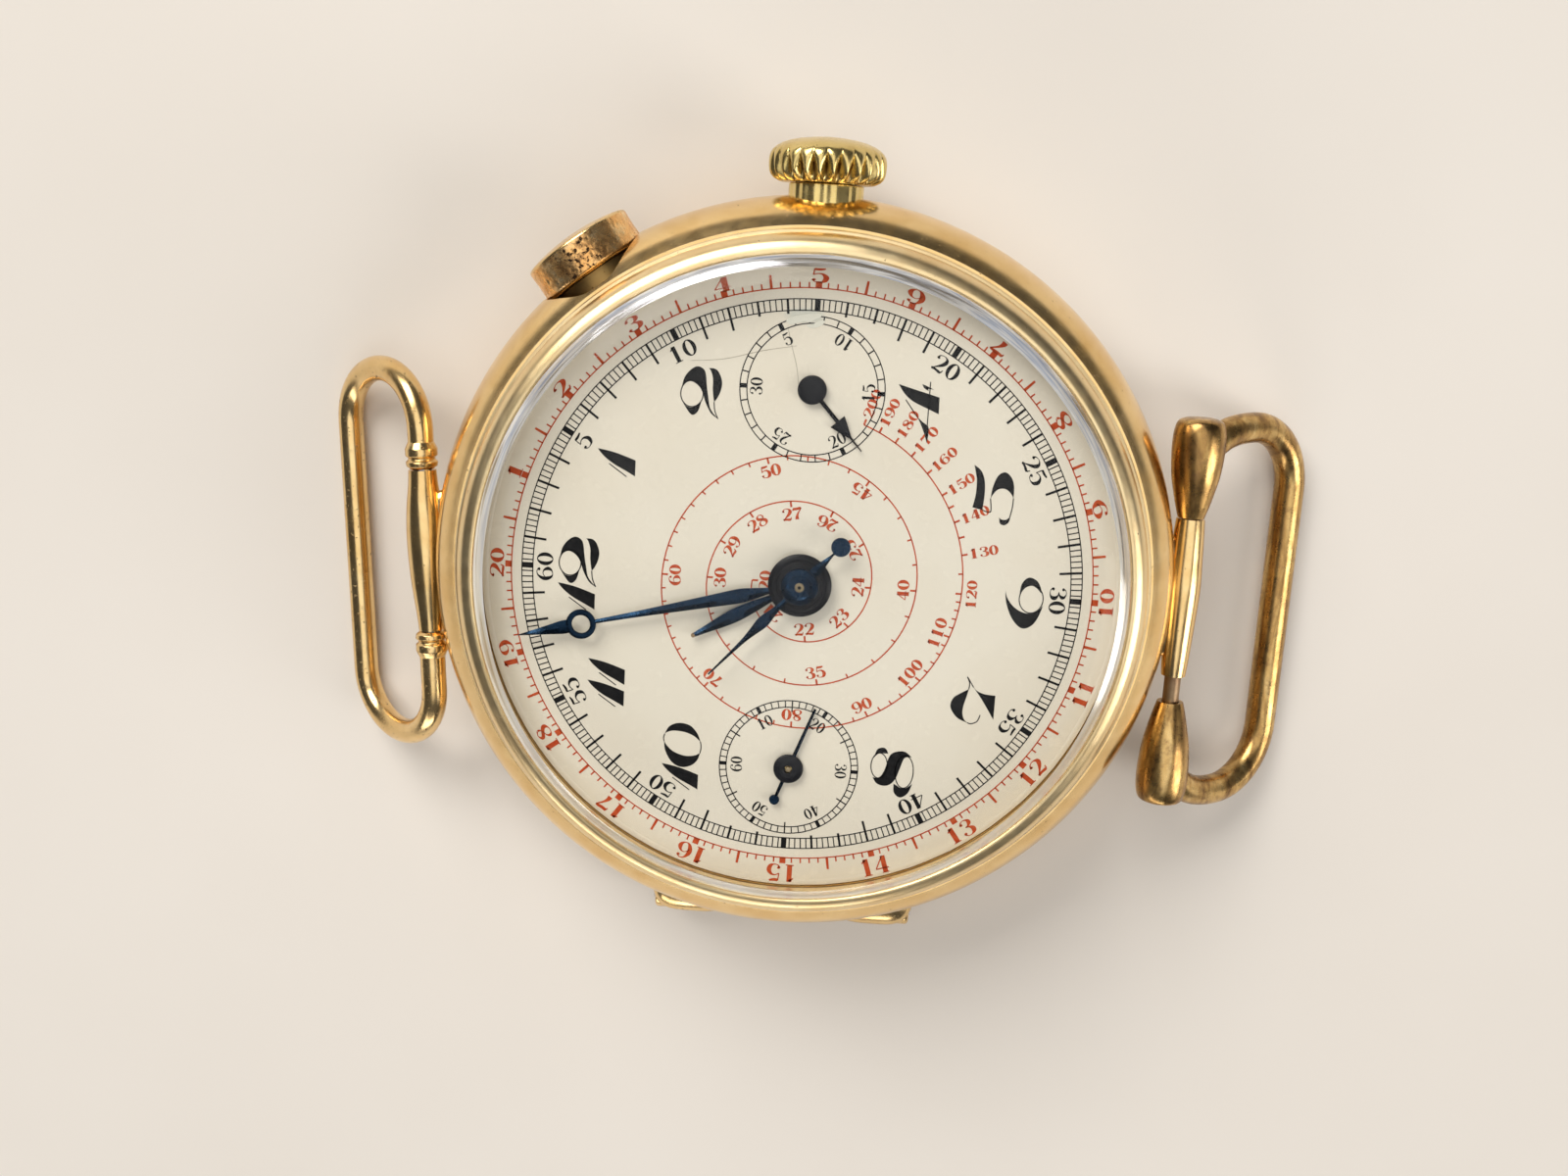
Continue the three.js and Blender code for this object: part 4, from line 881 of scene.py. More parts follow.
def print_minutes(solid):
    """The black minute track with fifths of a minute."""
    circle(solid, CENTRE, TRACK_IN, 0.035)
    circle(solid, CENTRE, TRACK_OUT, 0.035)
    for i in range(300):
        theta = i * 1.2
        by_subdial = min(abs(theta - 90), abs(theta - 270)) < 13
        if i % 25 == 0:
            tick(solid, CENTRE, theta, TRACK_IN, TRACK_OUT, 0.26)
        elif i % 5 == 0:
            tick(solid, CENTRE, theta, TRACK_OUT, 13.5 if by_subdial else 13.08, 0.1)
        else:
            tick(solid, CENTRE, theta, TRACK_IN, TRACK_OUT, 0.04)
    for minute in MINUTE_NUMERALS:
        round_number(solid, minute, CENTRE, minute * 6.0, 13.04, 0.84, 0.75)


TELEMETER_R = 14.76


def print_telemeter(solid):
    """The red distance scale outside the minutes, 20 km to the turn."""
    circle(solid, CENTRE, TELEMETER_R, 0.045)
    scale(solid, CENTRE, 200, (10, TELEMETER_R, TELEMETER_R + 0.32, 0.3),
          (5, TELEMETER_R, TELEMETER_R + 0.66, 0.13, 0.1),
          (1, TELEMETER_R, TELEMETER_R + 0.27, 0.06))
    for km in range(1, 21):
        theta = km * 18.0
        lean = math.sin(math.radians(theta))
        tall = 0.7 + 0.27 * math.exp(-((theta - 262.0) / 50.0) ** 2)
        round_number(solid, km, CENTRE, theta, 15.5 - 0.13 * lean, tall, 0.8 if km > 9 else 0.95,
                     reads_inward(theta), 1.5)


def spiral_radius(theta):
    """The tachometer spiral's distance from the centre at an angle counted from its outer end."""
    return 9.34 - 0.00639 * theta


SPEED_TURN = 21600.0     # degrees of the spiral times the speed in km/h
SPEEDS_OUTSIDE = (200, 190, 180, 170, 160, 150, 140, 130)
SPEEDS_INSIDE = (110, 100, 90, 80, 70, 60, 50, 45, 40, 35, *range(30, 19, -1))


def print_speeds(solid):
    """The red tachometer spiral: nearly three turns from 200 down to 20."""
    start, end = SPEED_TURN / 200, SPEED_TURN / 20
    steps = 420
    points = []
    for s in range(steps + 1):
        theta = start + (end - start) * s / steps
        p = dial_vector(theta) * spiral_radius(theta)
        points.append((p.x, p.y, 0.065))
    solid.add(stroke(points, 1))
    marks = [*range(200, 150, -10), *range(150, 120, -5), *range(120, 70, -2), *range(70, 19, -1)]
    for speed in marks:
        theta = SPEED_TURN / speed
        r = spiral_radius(theta)
        named = speed in SPEEDS_OUTSIDE or speed in SPEEDS_INSIDE or speed == 120
        if speed >= 130:
            tick(solid, CENTRE, theta, r, r + 0.3, 0.08)
        else:
            tick(solid, CENTRE, theta, r, r - (0.3 if named else 0.22), 0.08 if named else 0.06)
    for speed in SPEEDS_OUTSIDE:
        theta = SPEED_TURN / speed
        out = dial_vector(theta)
        number(solid, speed, out * (spiral_radius(theta) + 1.12), out, -clockwise(theta), 0.5,
               0.5, 1.55)
    round_number(solid, 120, CENTRE, 180.0, spiral_radius(180.0) + 0.5, 0.52, 0.5, True, 1.55)
    for speed in SPEEDS_INSIDE:
        theta = SPEED_TURN / speed
        round_number(solid, speed, CENTRE, theta, spiral_radius(theta) - 0.66, 0.6, 0.54,
                     reads_inward(theta), 1.6)


REGISTER_R = (3.6, 3.25)


def print_registers(solid):
    """The 30-minute recorder at 3 o'clock and the running seconds at 9 o'clock."""
    for centre in (RECORDER, SECONDS):
        for r in REGISTER_R:
            circle(solid, centre, r, 0.035, 96)
    wide, narrow = REGISTER_R
    scale(solid, RECORDER, 30, (5, narrow, wide, 0.2), (1, narrow, wide, 0.045))
    for minute in range(5, 31, 5):
        theta = minute * 12.0
        round_number(solid, minute, RECORDER, theta, 2.78, 0.62, 0.46, reads_inward(theta))
    scale(solid, SECONDS, 60, (10, narrow, wide, 0.17), (5, 3.0, wide, 0.05),
          (1, narrow, wide, 0.035))
    for second in range(10, 61, 10):
        round_number(solid, second, SECONDS, second * 6.0, 2.72, 0.6, 0.42)


CRACKS = [
    [(-6.1, 10.85, .02), (-4.4, 11.05, .03), (-2.6, 11.55, .03), (-.9, 11.9, .02)],
    [(-1.4, 12.8, .02), (-1.15, 11.9, .03), (-.85, 10.9, .03), (-.7, 10.0, .02)],
]
# Two thin flakes that cover the outer end of the recorder's ring.
TOUCH_UPS = [
    [(-1.5, 13.1), (-1.2, 13.3), (-.75, 13.42), (-.3, 13.5), (.1, 13.52), (.2, 13.38), (-.1, 13.22),
     (-.35, 13.08), (-.6, 13.12), (-.95, 13.0), (-1.25, 12.92)],
    [(-.5, 12.95), (-.15, 13.02), (.15, 13.2), (.4, 13.18), (.3, 13.0), (.0, 12.85), (-.3, 12.82)],
]


# The dial's rounded edge: radii, and heights above the dial.
DIAL_EDGE = [(15.9, -.3), (16.27, -.3), (16.28, -.05), (16.24, -.01), (16.15, .002),
             (15.95, .003), (15.9, -.02)]


def build_dial():
    dark, red, fine = Solid(), Solid(), Solid()
    print_hours(dark)
    print_minutes(dark)
    print_registers(dark)
    print_telemeter(red)
    print_speeds(red)
    for crack in CRACKS:
        fine.add(stroke(crack, top=PRINT_TOP - 0.004))
    patch = Solid()
    for outline in TOUCH_UPS:
        patch.add(plate(smooth_outline(outline), PRINT_TOP + 0.006))
    edge = Solid().add(lathe([(r, DIAL_Z + rise) for r, rise in DIAL_EDGE], 240))
    for name, solid, ink in (("dial_black_print", dark, black_ink),
                             ("dial_rounded_edge", edge, enamel),
                             ("dial_red_print", red, red_ink),
                             ("dial_hairline_cracks", fine, crack_ink),
                             ("dial_touch_up", patch, touch_up)):
        piece(name, solid, "dial", [ink], sharp=40, replaces=False)


# ------------------------------------------------------------------ case, bezel, crystal, back
BAND_CURVE = [(17.95, 1.67), (18.6, 2.4), (19.12, 3.7), (19.3, 5.3), (19.14, 6.6), (18.6, 7.8),
              (17.75, 8.62)]
DIAL_SEAT_R, MOVEMENT_R, SEAT_Z = 16.3, 15.55, 6.1
PUSHER_SEAT, PUSHER_CLEAR_R = 17.9, 3.05
EAR_R, EAR_X = 0.86, 5.1      # the case's two rounded hinge ears
BEZEL_INSIDE = 16.3


def cylinder(radius, z0, z1, segments=64):
    return lathe([(0, z0), (radius, z0), (radius, z1), (0, z1)], segments)


def build_band():
    profile = catmull(BAND_CURVE, 6)
    profile += [(17.55, BAND_TOP), (DIAL_SEAT_R, BAND_TOP), (DIAL_SEAT_R, SEAT_Z),
                (MOVEMENT_R, SEAT_Z), (MOVEMENT_R, 1.75), (MOVEMENT_R + 0.08, BAND_CURVE[0][1])]
    band = Solid().add(lathe(profile, ROUND))
    cutters = [
        moved(cylinder(PUSHER_CLEAR_R, PUSHER_SEAT, 24), PUSHER_PLACE),
        moved(cylinder(1.04, 14, 18.6, 32), PUSHER_PLACE),
        moved(cylinder(1.14, 15, 20, 32), CROWN_PLACE),
    ]
    data = subtract(band, cutters, "case_band_body")
    piece("case_band_body", data, "case_band", [gold], sharp=32)
    ears = Solid()
    for side in (-1, 1):
        x = side * EAR_X
        knuckle = fillet([(HINGE_BORE, -2.1), (EAR_R, -2.1, .42), (EAR_R, 2.1, .42),
                          (HINGE_BORE, 2.1)], 6)
        ears.add(lathe(knuckle, 32), Matrix.Translation((x, HINGE_Y, HINGE_Z)) @ ALONG_X)
        web = box_shell(x - 1.9, x + 1.9, HINGE_Y - 0.1, HINGE_WEB_END, HINGE_Z - 0.05,
                        HINGE_Z + 1.2)
        ears.add(bevelled(web, 0.55, 4))
        sections = []
        for k in range(17):
            t = math.cos(math.pi * k / 16)
            full = max(0.12, (1 - t ** 4) ** 0.5)
            sections.append([(x + 2.25 * t, HINGE_Y + 0.6 + 1.4 * full * math.cos(a),
                              HINGE_Z + 0.5 + 0.98 * full * math.sin(a))
                             for a in steps_round(32)])
        ears.add(loft(sections))
    piece("case_hinge_ears", ears, "case_band", [gold_specked], replaces=False,
          sharp=60)


def build_bezel():
    """A convex ring with a fine step low on its outer side and a lip over the crystal."""
    slope = catmull([(17.42, 9.02), (17.38, 9.35), (17.24, 9.7), (16.98, 9.98), (16.68, 10.11),
                     (16.5, 10.13)], 5)
    profile = [(BEZEL_INSIDE, 8.66), (17.5, 8.66), (17.58, 8.72), (17.6, 8.86), (17.54, 8.95),
               (17.42, 8.97)] + slope + [(16.44, 10.08), (16.42, 9.98), (16.42, 9.26),
                                        (BEZEL_INSIDE + 0.04, 9.26), (BEZEL_INSIDE, 9.21),
                                        (BEZEL_INSIDE, 8.8)]
    # The inner wall at the bezel's foot takes the dark gold: a painted shade line round the dial's
    # edge.
    wall = len(profile) - 1
    bezel = banded(lathe(profile, ROUND), ROUND, wall, wall + 1)
    piece("bezel_ring", bezel, "bezel", [gold_bezel_painted_sheen, gold_painted_shade], sharp=35)


def build_crystal():
    """A low dome with a narrow bevelled rim that stands in the bezel."""
    slope = catmull([(16.35, 10.16), (16.2, 10.3), (16.0, 10.43), (15.74, 10.57)], 4)[:-1]
    dome = catmull([(15.74, 10.57), (15.4, 10.7), (14.6, 10.94), (12.2, 11.34), (8.5, 11.7),
                    (4.2, 11.93), (0, CRYSTAL_TOP)], 5)
    inside = catmull([(0, 10.95), (4.2, 10.88), (8.5, 10.62), (12.2, 10.1), (15.4, 9.38)], 5)
    edge = [(15.6, 9.3), (16.36, 9.3), (16.38, 9.34), (16.38, 10.1)]
    profile = inside + edge + slope + dome
    bevel = len(inside) + len(edge) - 1
    # The bevelled band of the rim takes the painted reflection colours; the rest is clear glass.
    solid = banded(lathe(profile, 240), 240, bevel, bevel + len(slope))
    piece("crystal_dome", solid, "crystal", [clear, rim_painted_reflection], sharp=50)


def build_back():
    profile = catmull([(0, 0.0), (9, 0.0), (13.2, 0.02), (14.8, 0.1), (16.2, .32), (17.1, .6),
                       (17.5, .85), (17.78, 1.2), (17.88, 1.5)], 4)
    profile += [(17.86, 1.6), (17.8, 1.63), (17.25, 1.63), (17.2, 1.6), (16.6, 1.1), (15.4, .85),
                (13.2, .6), (0, .6)]
    solid = Solid().add(lathe(profile, 192))
    knuckle = turned([(HINGE_BORE, -2.9), (HINGE_R, -2.9, .1), (HINGE_R, 2.9, .1),
                      (HINGE_BORE, 2.9)], 32)
    solid.add(knuckle, Matrix.Translation((0, HINGE_Y, HINGE_Z)) @ ALONG_X)
    web = box_shell(-2.88, 2.88, HINGE_Y + 0.4, HINGE_WEB_END, 0.95, 1.62)
    solid.add(bevelled(web, 0.12))
    piece("case_back_cover", solid, "back_cover", [gold], sharp=35)


# ------------------------------------------------------------------ crown and pusher
CROWN_RIBS = 26
CROWN_BORE_R, CROWN_BORE_END = 0.59, CROWN_START + 1.2


def build_crown():
    """Tapered ribs, pointed towards the case, that run up on to a low smooth dome."""
    side = CROWN_END - CROWN_START
    rows = [  # share of the height, ridge radius, groove radius, how narrow the ridge is
        (0.0, 2.34, 2.32, 4.0), (0.02, 2.46, 2.36, 4.0), (0.07, 2.68, 2.38, 3.4),
        (0.14, 2.83, 2.40, 2.4), (0.22, 2.91, 2.42, 1.6), (0.31, 2.94, 2.46, 1.0),
        (0.40, 2.95, 2.54, 0.65), (0.48, 2.95, 2.66, 0.45), (0.55, 2.93, 2.76, 0.4),
        (0.62, 2.88, 2.81, 0.4), (0.69, 2.78, 2.76, 0.4), (0.76, 2.60, 2.60, 0.8),
        (0.83, 2.34, 2.34, 0.8), (0.89, 1.98, 1.98, 0.8), (0.94, 1.50, 1.50, 0.8),
        (0.975, 0.95, 0.95, 0.8), (0.995, 0.4, 0.4, 0.8),
    ]
    segments = CROWN_RIBS * 12
    angles = steps_round(segments)
    profile = [(CROWN_BORE_R, CROWN_BORE_END), (CROWN_BORE_R, CROWN_START)]
    cuts = {}
    for share, ridge, groove, narrow in rows:
        profile.append((ridge, CROWN_START + share * side))
        cuts[profile[-1]] = (groove, narrow)
    profile += [(0, CROWN_END), (0, CROWN_BORE_END)]

    def wave(a):
        return abs(math.cos(0.5 * CROWN_RIBS * a))

    def ribbed(r, z, a):
        """Between ridge and groove, the more steeply the narrower the ridge."""
        groove, narrow = cuts.get((r, z), (r, 1.0))
        return groove + (r - groove) * wave(a) ** narrow, z

    crown = Solid().add(lathe(profile, segments, ribbed), CROWN_PLACE)
    # Groove faces low on the crown take the dark gold: painted shade in the grooves between the
    # ribs.
    for i in range(2 * segments, 10 * segments):
        row, s = divmod(i, segments)
        highest = max(wave(angles[s]), wave(angles[(s + 1) % segments]))
        crown.numbers[i] = 1 if highest < 0.55 - 0.04 * row else 0
    piece("crown_fluted", crown, "crown", [gold_crown, gold_painted_shade], sharp=70)

    def facets(r, z, a):
        return (r + 0.025 * math.cos(20 * a) if r > 1.5 else r), z

    neck = fillet([(0.61, 15.96), (1.1, 15.96), (1.1, 18.75), (1.86, 18.75), (1.86, 19.76, .05),
                   (1.8, 19.79), (0.61, 19.79)])
    piece("crown_neck", Solid().add(lathe(neck, 160, facets), CROWN_PLACE), "crown_tube",
          [gold_crown], sharp=50)


def build_pusher():
    """A drum with a low polished dome; its side is eaten by pits."""
    low, shoulder, top, radius = 18.65, 20.4, 20.9, 2.9      # z is measured along its own axis

    def eaten(r, z, a):
        """Sinks the wall in pits and hollows, and leaves both of its edges whole."""
        if r < 2.75 or z < low + 0.2 or z > shoulder - 0.1:
            return r, z
        spot = Vector((radius * math.cos(a), radius * math.sin(a), z))
        coarse = noise.noise(spot * 1.1)
        small = noise.noise(spot * 5.2 + Vector((5, 1, 2)))
        fall = min((z - low - 0.2) / 0.2, (shoulder - 0.1 - z) / 0.2, 1.0)
        return r - fall * (0.02 * max(0.0, coarse + 0.1) + 0.09 * max(0.0, small - 0.2)), z

    wall = [(2.86, low + 0.12), (2.9, low + 0.2)]
    for k in range(1, 16):
        waist = 0.02 * math.sin(math.pi * k / 16)
        wall.append((radius - waist, low + 0.2 + k * (shoulder - low - 0.3) / 16))
    dome = [(2.9, shoulder - 0.04), (2.88, shoulder + 0.04), (2.8, shoulder + 0.1),
            *catmull([(2.72, shoulder + 0.13), (2.35, shoulder + 0.23), (1.75, shoulder + 0.34),
                      (1.0, shoulder + 0.44), (0.4, top - 0.01)], 4), (0, top)]
    hollow = [(0, 20.2), (0.54, 20.2), (0.54, low + 0.75), (2.55, low + 0.75), (2.55, low)]
    profile = [hollow[-1], (2.72, low), (2.8, low + 0.05)] + wall + dome + hollow[:-1]
    first_dome = len(profile) - len(dome) - len(hollow) + 1
    solid = banded(lathe(profile, 240, eaten), 240, 3, first_dome, PUSHER_PLACE)
    piece("pusher_drum", solid, "pusher_cap", [gold_specked, gold_pitted])
    # The collar is dark gold: painted shade, so that it reads as a dark gap under the drum.
    collar = turned([(0.56, 15.96), (1.0, 15.96), (1.0, 17.94), (2.45, 17.94), (2.45, low, .04),
                     (0.56, low)], 96)
    piece("pusher_collar", Solid().add(collar, PUSHER_PLACE), "pusher_tube",
          [gold_painted_shade])


# ------------------------------------------------------------------ strap loops
def strap_place(x, y, heading, hang):
    """Where a sleeve lies, and where the loop that hangs from it lies at rest."""
    place = Matrix.Translation((x, y, AXIS_Z)) @ Matrix.Rotation(math.radians(heading), 4, "Z")
    return place, place @ Matrix.Rotation(math.radians(hang), 4, "Y")


PLACE_12, SWING_12 = strap_place(-19.9, -0.2, 4.0, -43.2)
PLACE_6, SWING_6 = strap_place(19.88, 0.0, 0.0, 37.5)
PIN_BORE, PIN_CLEAR = 0.5, 0.47       # bores of the sleeves and of the loops' ends


def sleeve(half, middle, inward):
    """A spindle with a bore, soldered to the band by a saddle on its inner side."""
    outside = catmull([(0.63, -half), (0.70, -half * 0.8), (middle - 0.09, -half * 0.35),
                       (middle, half * 0.12), (middle - 0.06, half * 0.5),
                       (0.78, half * 0.82), (0.73, half)], 6)
    solid = Solid().add(lathe([(PIN_BORE, -half)] + outside + [(PIN_BORE, half)], 64), ALONG_Y)
    sections = []
    for k in range(7):
        t = k / 6
        x = inward * (0.35 + 1.35 * t)
        long_half = 3.15 + 0.4 * t * t
        thick = 0.46 + 0.22 * t * t
        sections.append([
            (x, long_half * math.copysign(abs(math.cos(a)) ** 0.6, math.cos(a)),
             thick * math.copysign(abs(math.sin(a)) ** 0.8, math.sin(a)))
            for a in steps_round(48)
        ])
    solid.add(loft(sections))
    return solid


def arc(cx, cy, rx, ry, start, end, steps):
    """Points of a flat oval arc between two angles in degrees."""
    return [(cx + rx * math.cos(math.radians(start + (end - start) * k / steps)),
             cy + ry * math.sin(math.radians(start + (end - start) * k / steps)), 0)
            for k in range(steps + 1)]


def build_loop_12():
    piece("sleeve_12_body", sleeve(4.3, 1.0, 1).moved(PLACE_12), "strap_sleeve_12",
          [gold], sharp=40)
    depth = 7.05
    path = [(0, 5.4, 0), (0, 5.9, 0)] + arc(-depth / 2, 6.4, depth / 2, 3.05, 0, 180, 26)
    path += [(-depth, 6.4 - k, 0) for k in range(1, 14)]
    path += arc(-depth / 2, -7.6, depth / 2, 3.0, 180, 360, 26) + [(0, -6.3, 0), (0, -5.4, 0)]
    solid = Solid().add(sweep(path, 0.67))
    collar = turned([(PIN_CLEAR, 4.36), (.62, 4.36, .05), (.8, 4.5, .06), (.84, 4.72, .06),
                     (.7, 4.86, .05), (.7, 4.94, .04), (.84, 5.06, .06), (.84, 5.42, .1),
                     (.7, 5.72, .08), (.62, 5.84), (PIN_CLEAR, 5.45)])
    for flip in (ALONG_Y, AGAINST_Y):
        solid.add(collar, flip)
    piece("loop_12_wire", solid.moved(SWING_12), "strap_loop_12",
          [gold_specked])


def cone_shell(start, end, flip):
    """A teardrop socket, small at the sleeve and rounded off at its far end."""
    length = end - start
    shares = ((0.68, 0), (0.84, .1), (1.0, .22), (1.22, .41), (1.34, .64), (1.33, .84))
    outside = catmull([*((r, start + share * length) for r, share in shares),
                       (1.18, end - 0.26), (0.9, end - 0.07), (0.6, end)], 5)
    profile = [(PIN_CLEAR, start), (0.62, start)] + outside
    profile += [(0, end), (0, start + 2), (PIN_CLEAR, start + 2)]
    return moved(lathe(profile), flip)


def build_loop_6():
    piece("sleeve_6_body", sleeve(4.18, 0.9, -1).moved(PLACE_6), "strap_sleeve_6",
          [gold], sharp=40)
    for name, node, ends, flip in (
        ("cone_6_upper_body", "strap_cone_6_upper", (4.24, 9.4), ALONG_Y),
        ("cone_6_lower_body", "strap_cone_6_lower", (5.62, 11.2), AGAINST_Y),
    ):
        solid = Solid().add(cone_shell(*ends, flip), SWING_6)
        piece(name, solid, node, [gold_old])
    depth, corner, top, bottom = 7.7, 3.4, 8.85, -11.1
    inner = depth - corner
    head = [(0.95, 7.95), (1.7, 8.38), (2.6, 8.68), (3.5, 8.81), (inner, top)]
    path = [(*p, 0) for p in catmull(head, 4)[:-1]]
    path += arc(inner, top - corner, corner, corner, 90, 0, 16)
    length = (top - corner) - (bottom + corner)
    path += [(depth, top - corner - length * k / 12, 0) for k in range(1, 12)]
    path += arc(inner, bottom + corner, corner, corner, 0, -90, 16)[:-1]
    tail = [(inner, bottom), (3.5, bottom + 0.02), (2.6, bottom + 0.18), (1.7, bottom + 0.55),
            (0.95, bottom + 1.1)]
    path += [(*p, 0) for p in catmull(tail, 4)]
    piece("loop_6_wire", Solid().add(sweep(path, 0.8), SWING_6), "strap_loop_6",
          [gold_old])
    pin = turned([(0, -7.55), (0.43, -7.55, .05), (0.43, 6.15, .05), (0, 6.15)], 32)
    piece("pin_6_body", Solid().add(pin, SWING_6 @ ALONG_Y), "strap_pin_6",
          [brown_pin])


# ------------------------------------------------------------------ hands
def hand(node, solid, centre, theta, materials):
    """Turns a hand, built along +Y round the origin, to its angle on its own dial."""
    place = Matrix.Translation((*centre, 0)) @ Matrix.Rotation(math.radians(90 - theta), 4, "Z")
    piece(node + "_blade", solid.moved(place), node, materials, sharp=25)


def leaf(stations, z0, z1, steps=6, edge=0.5):
    """A hand's blade along +Y with a ridge down its middle, from (y, half width) stations."""
    line = catmull(stations, steps)
    shoulder = z0 + edge * (z1 - z0)
    return loft([
        [(-w, y, z0), (w, y, z0), (w, y, shoulder), (0, y, z1), (-w, y, shoulder)]
        for y, w in ((y, max(w, 0.012)) for y, w in line)
    ])


def up_y(y):
    """A step along a hand."""
    return Matrix.Translation((0, y, 0))


def build_hands():
    z0, z1 = span("hour_hand", Z)
    hour = Solid()
    hour.add(leaf([(0.8, .15), (1.7, .19), (2.6, .29), (3.6, .35), (4.5, .29), (5.2, .2),
                   (5.9, .12), (6.1, .1)], z0, z1))
    hour.add(lathe([(0, z0), (.11, z0), (.12, z0 + .03), (.1, z1), (0, z1)], 16),
             up_y(6.08), number=1)
    hour.add(lathe([(0.72, z0), (1.4, z0), (1.45, z0 + .05), (1.4, z1), (0.72, z1)]))
    hand("hour_hand", hour, CENTRE, 330.2, [blue, brown_pin])

    z0, z1 = 9.05, 9.2
    minute = Solid()
    minute.add(leaf([(0.8, .15), (1.6, .17), (2.4, .29), (3.1, .37), (4.4, .32), (8.0, .17),
                     (10.2, .11), (10.7, .1)], z0, z1))
    minute.add(turned([(.47, z0), (.77, z0, .03), (.77, z1, .06), (.47, z1, .06)]),
               up_y(11.34))
    minute.add(leaf([(11.9, .31), (12.1, .345), (12.4, .335), (13.1, .23), (13.9, .12),
                     (14.68, .012)], z0, z1, 3))
    minute.add(turned([(0.42, 9.0), (1.55, 9.0), (1.61, 9.06, .03), (1.61, 9.18, .06),
                       (1.36, 9.28, .06), (1.28, 9.24, .03), (1.2, 9.24, .03), (1.14, 9.32, .05),
                       (0.42, 9.34)], 72), number=1)
    hand("minute_hand", minute, CENTRE, 345.9, [blue, black])

    z0, z1 = 9.45, 9.57
    sweep_hand = Solid()
    sweep_hand.add(leaf([(0.6, .14), (1.2, .12), (1.9, .2), (2.6, .3), (3.3, .2), (4.2, .1),
                         (6.5, .04)], z0, z1))
    sweep_hand.add(leaf([(-2.6, .06), (-2.2, .07), (-1.5, .21), (-1.1, .24), (-0.6, .16)], z0,
                        z1, 3))
    sweep_hand.add(lathe([(0, z0), (.47, z0), (.49, z0 + .03), (.47, z1), (0, z1)], 32),
                   up_y(-2.9))
    sweep_hand.add(turned([(0.19, 9.42), (.92, 9.42), (.95, 9.5, .04), (.93, 9.64, .08),
                           (.62, 9.7, .06), (.55, 9.66, .02), (.22, 9.66), (.19, 9.66)], 64))
    sweep_hand.add(turned([(.09, 9.62), (.24, 9.62), (.24, 9.72, .04), (.09, 9.74, .03)], 32),
                   number=1)
    sweep_hand.add(lathe([(0, 9.62), (.1, 9.62), (.1, 9.68), (0, 9.69)], 24), number=2)
    hand("sweep_hand", sweep_hand, CENTRE, 312, [blue, pivot_brass, black])

    z0, z1 = 8.68, 8.8
    seconds = Solid()
    seconds.add(leaf([(0.5, .1), (2.0, .085), (3.5, .07)], z0, z1, 3))
    seconds.add(leaf([(-1.6, .08), (-0.5, .1)], z0, z1, 2))
    seconds.add(lathe([(0, z0), (.25, z0), (.27, z0 + .03), (.25, z1), (0, z1)], 32),
                up_y(-1.84))
    seconds.add(turned([(0.21, 8.66), (.75, 8.66), (.78, 8.72, .03), (.74, 8.84, .05),
                        (.45, 8.88, .05), (.21, 8.88)]), number=1)
    seconds.add(turned([(0, 8.84), (.14, 8.84), (.14, 8.9, .04), (0, 8.9)], 24), number=2)
    hand("small_seconds_hand", seconds, SECONDS, 110, [blue, black, pivot_brass])

    recorder = Solid()
    recorder.add(leaf([(0.5, .11), (1.3, .1), (2.1, .1)], z0, z1, 2))
    recorder.add(leaf([(2.0, .44), (2.03, .44), (3.0, .07)], z0, z1, 1))
    recorder.add(leaf([(2.9, .06), (3.9, .025)], z0, z1, 1))
    recorder.add(turned([(0, 8.66), (.70, 8.66), (.73, 8.72, .03), (.7, 8.84, .05),
                         (.4, 8.88, .05), (0, 8.9)]))
    hand("recorder_hand", recorder, RECORDER, 227.6, [black])


# ------------------------------------------------------------------ carried-over CAD nodes
SLOT_PAINT = {
    "polished_gold": gold, "worn_gold": gold_old, "enamel": enamel, "crystal": clear,
    "blued_steel": blue, "black_steel": black, "steel": steel, "gilt_nickel": nickel,
    "wheel_brass": brass,
}


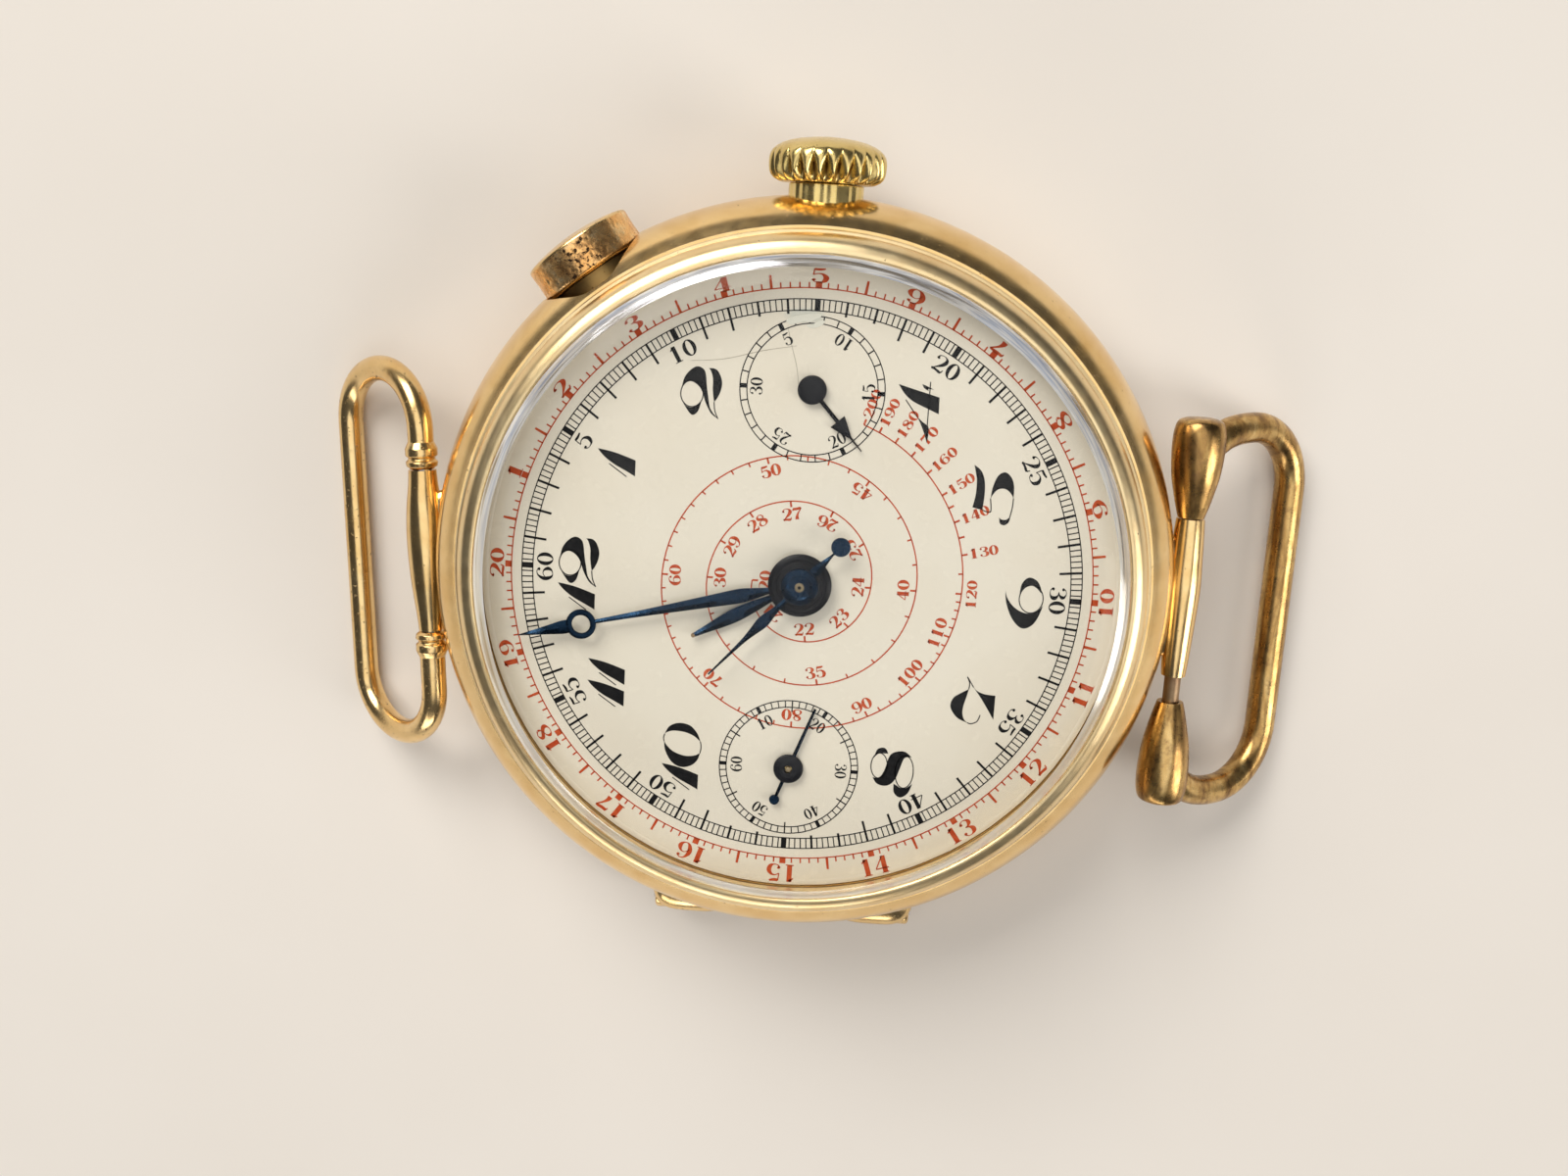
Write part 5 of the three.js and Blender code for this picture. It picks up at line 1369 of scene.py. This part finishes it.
def paint_nodes():
    """Every CAD node gets the procedural finish of its slot, for those that still show."""
    for part in frame["record"]["subparts"]:
        materials = frame["nodes"][part["node"]].data.materials
        materials.clear()
        materials.append(SLOT_PAINT[part["material_slot"]])


# ------------------------------------------------------------------ stage, lights and camera
def build_stage():
    half = 700.0
    solid = Solid().add(box_shell(-half, half, -half, half, -5.0, 0.0))
    floor = added("floor", solid.mesh("floor"))
    floor.data.materials.append(floor_paint)


def area_light(name, place, size, power, colour):
    data = bpy.data.lights.new(name, "AREA")
    data.shape = "RECTANGLE"
    data.size, data.size_y = size
    data.energy = power
    data.color = colour
    lamp = added(name, data)
    lamp.location = Vector(place)
    lamp.rotation_euler = (-Vector(place)).to_track_quat("-Z", "Y").to_euler()


def build_lights():
    world = bpy.data.worlds.new("studio")
    bpy.context.scene.world = world
    world.use_nodes = True
    background = world.node_tree.nodes["Background"]
    background.inputs["Color"].default_value = (0.93, 0.95, 1.0, 1)
    background.inputs["Strength"].default_value = 0.07
    area_light("above", (0.03, 0.02, 0.75), (0.72, 0.62), 1.7, (1.0, 0.985, 0.96))
    area_light("key", (-0.24, 0.40, 0.36), (0.40, 0.32), 3.0, (1.0, 0.965, 0.91))
    area_light("fill", (0.44, -0.14, 0.26), (0.20, 0.32), 1.0, (1.0, 0.97, 0.93))
    area_light("low", (-0.12, -0.46, 0.18), (0.5, 0.12), 0.7, (1.0, 0.95, 0.88))


def build_camera():
    data = bpy.data.cameras.new("camera")
    data.sensor_width = 36.0
    data.lens = 37.11
    data.clip_start = 0.002
    camera = added("camera", data)
    eye = Vector((0.0016, 0.01645, 0.08887))
    right = Vector((0.9973, 0.0601, -0.0423))
    up = Vector((-0.0674, 0.9771, -0.2017))
    back = right.cross(up).normalized()
    up = back.cross(right).normalized()
    aim = Matrix((right.normalized(), up, back)).transposed().to_4x4()
    camera.matrix_world = Matrix.Translation(eye) @ aim
    bpy.context.scene.camera = camera


for build in (build_dial, build_band, build_bezel, build_crystal, build_back, build_crown,
              build_pusher, build_loop_12, build_loop_6, build_hands, paint_nodes, build_stage,
              build_lights, build_camera):
    build()
bpy.context.scene.view_settings.view_transform = "Standard"
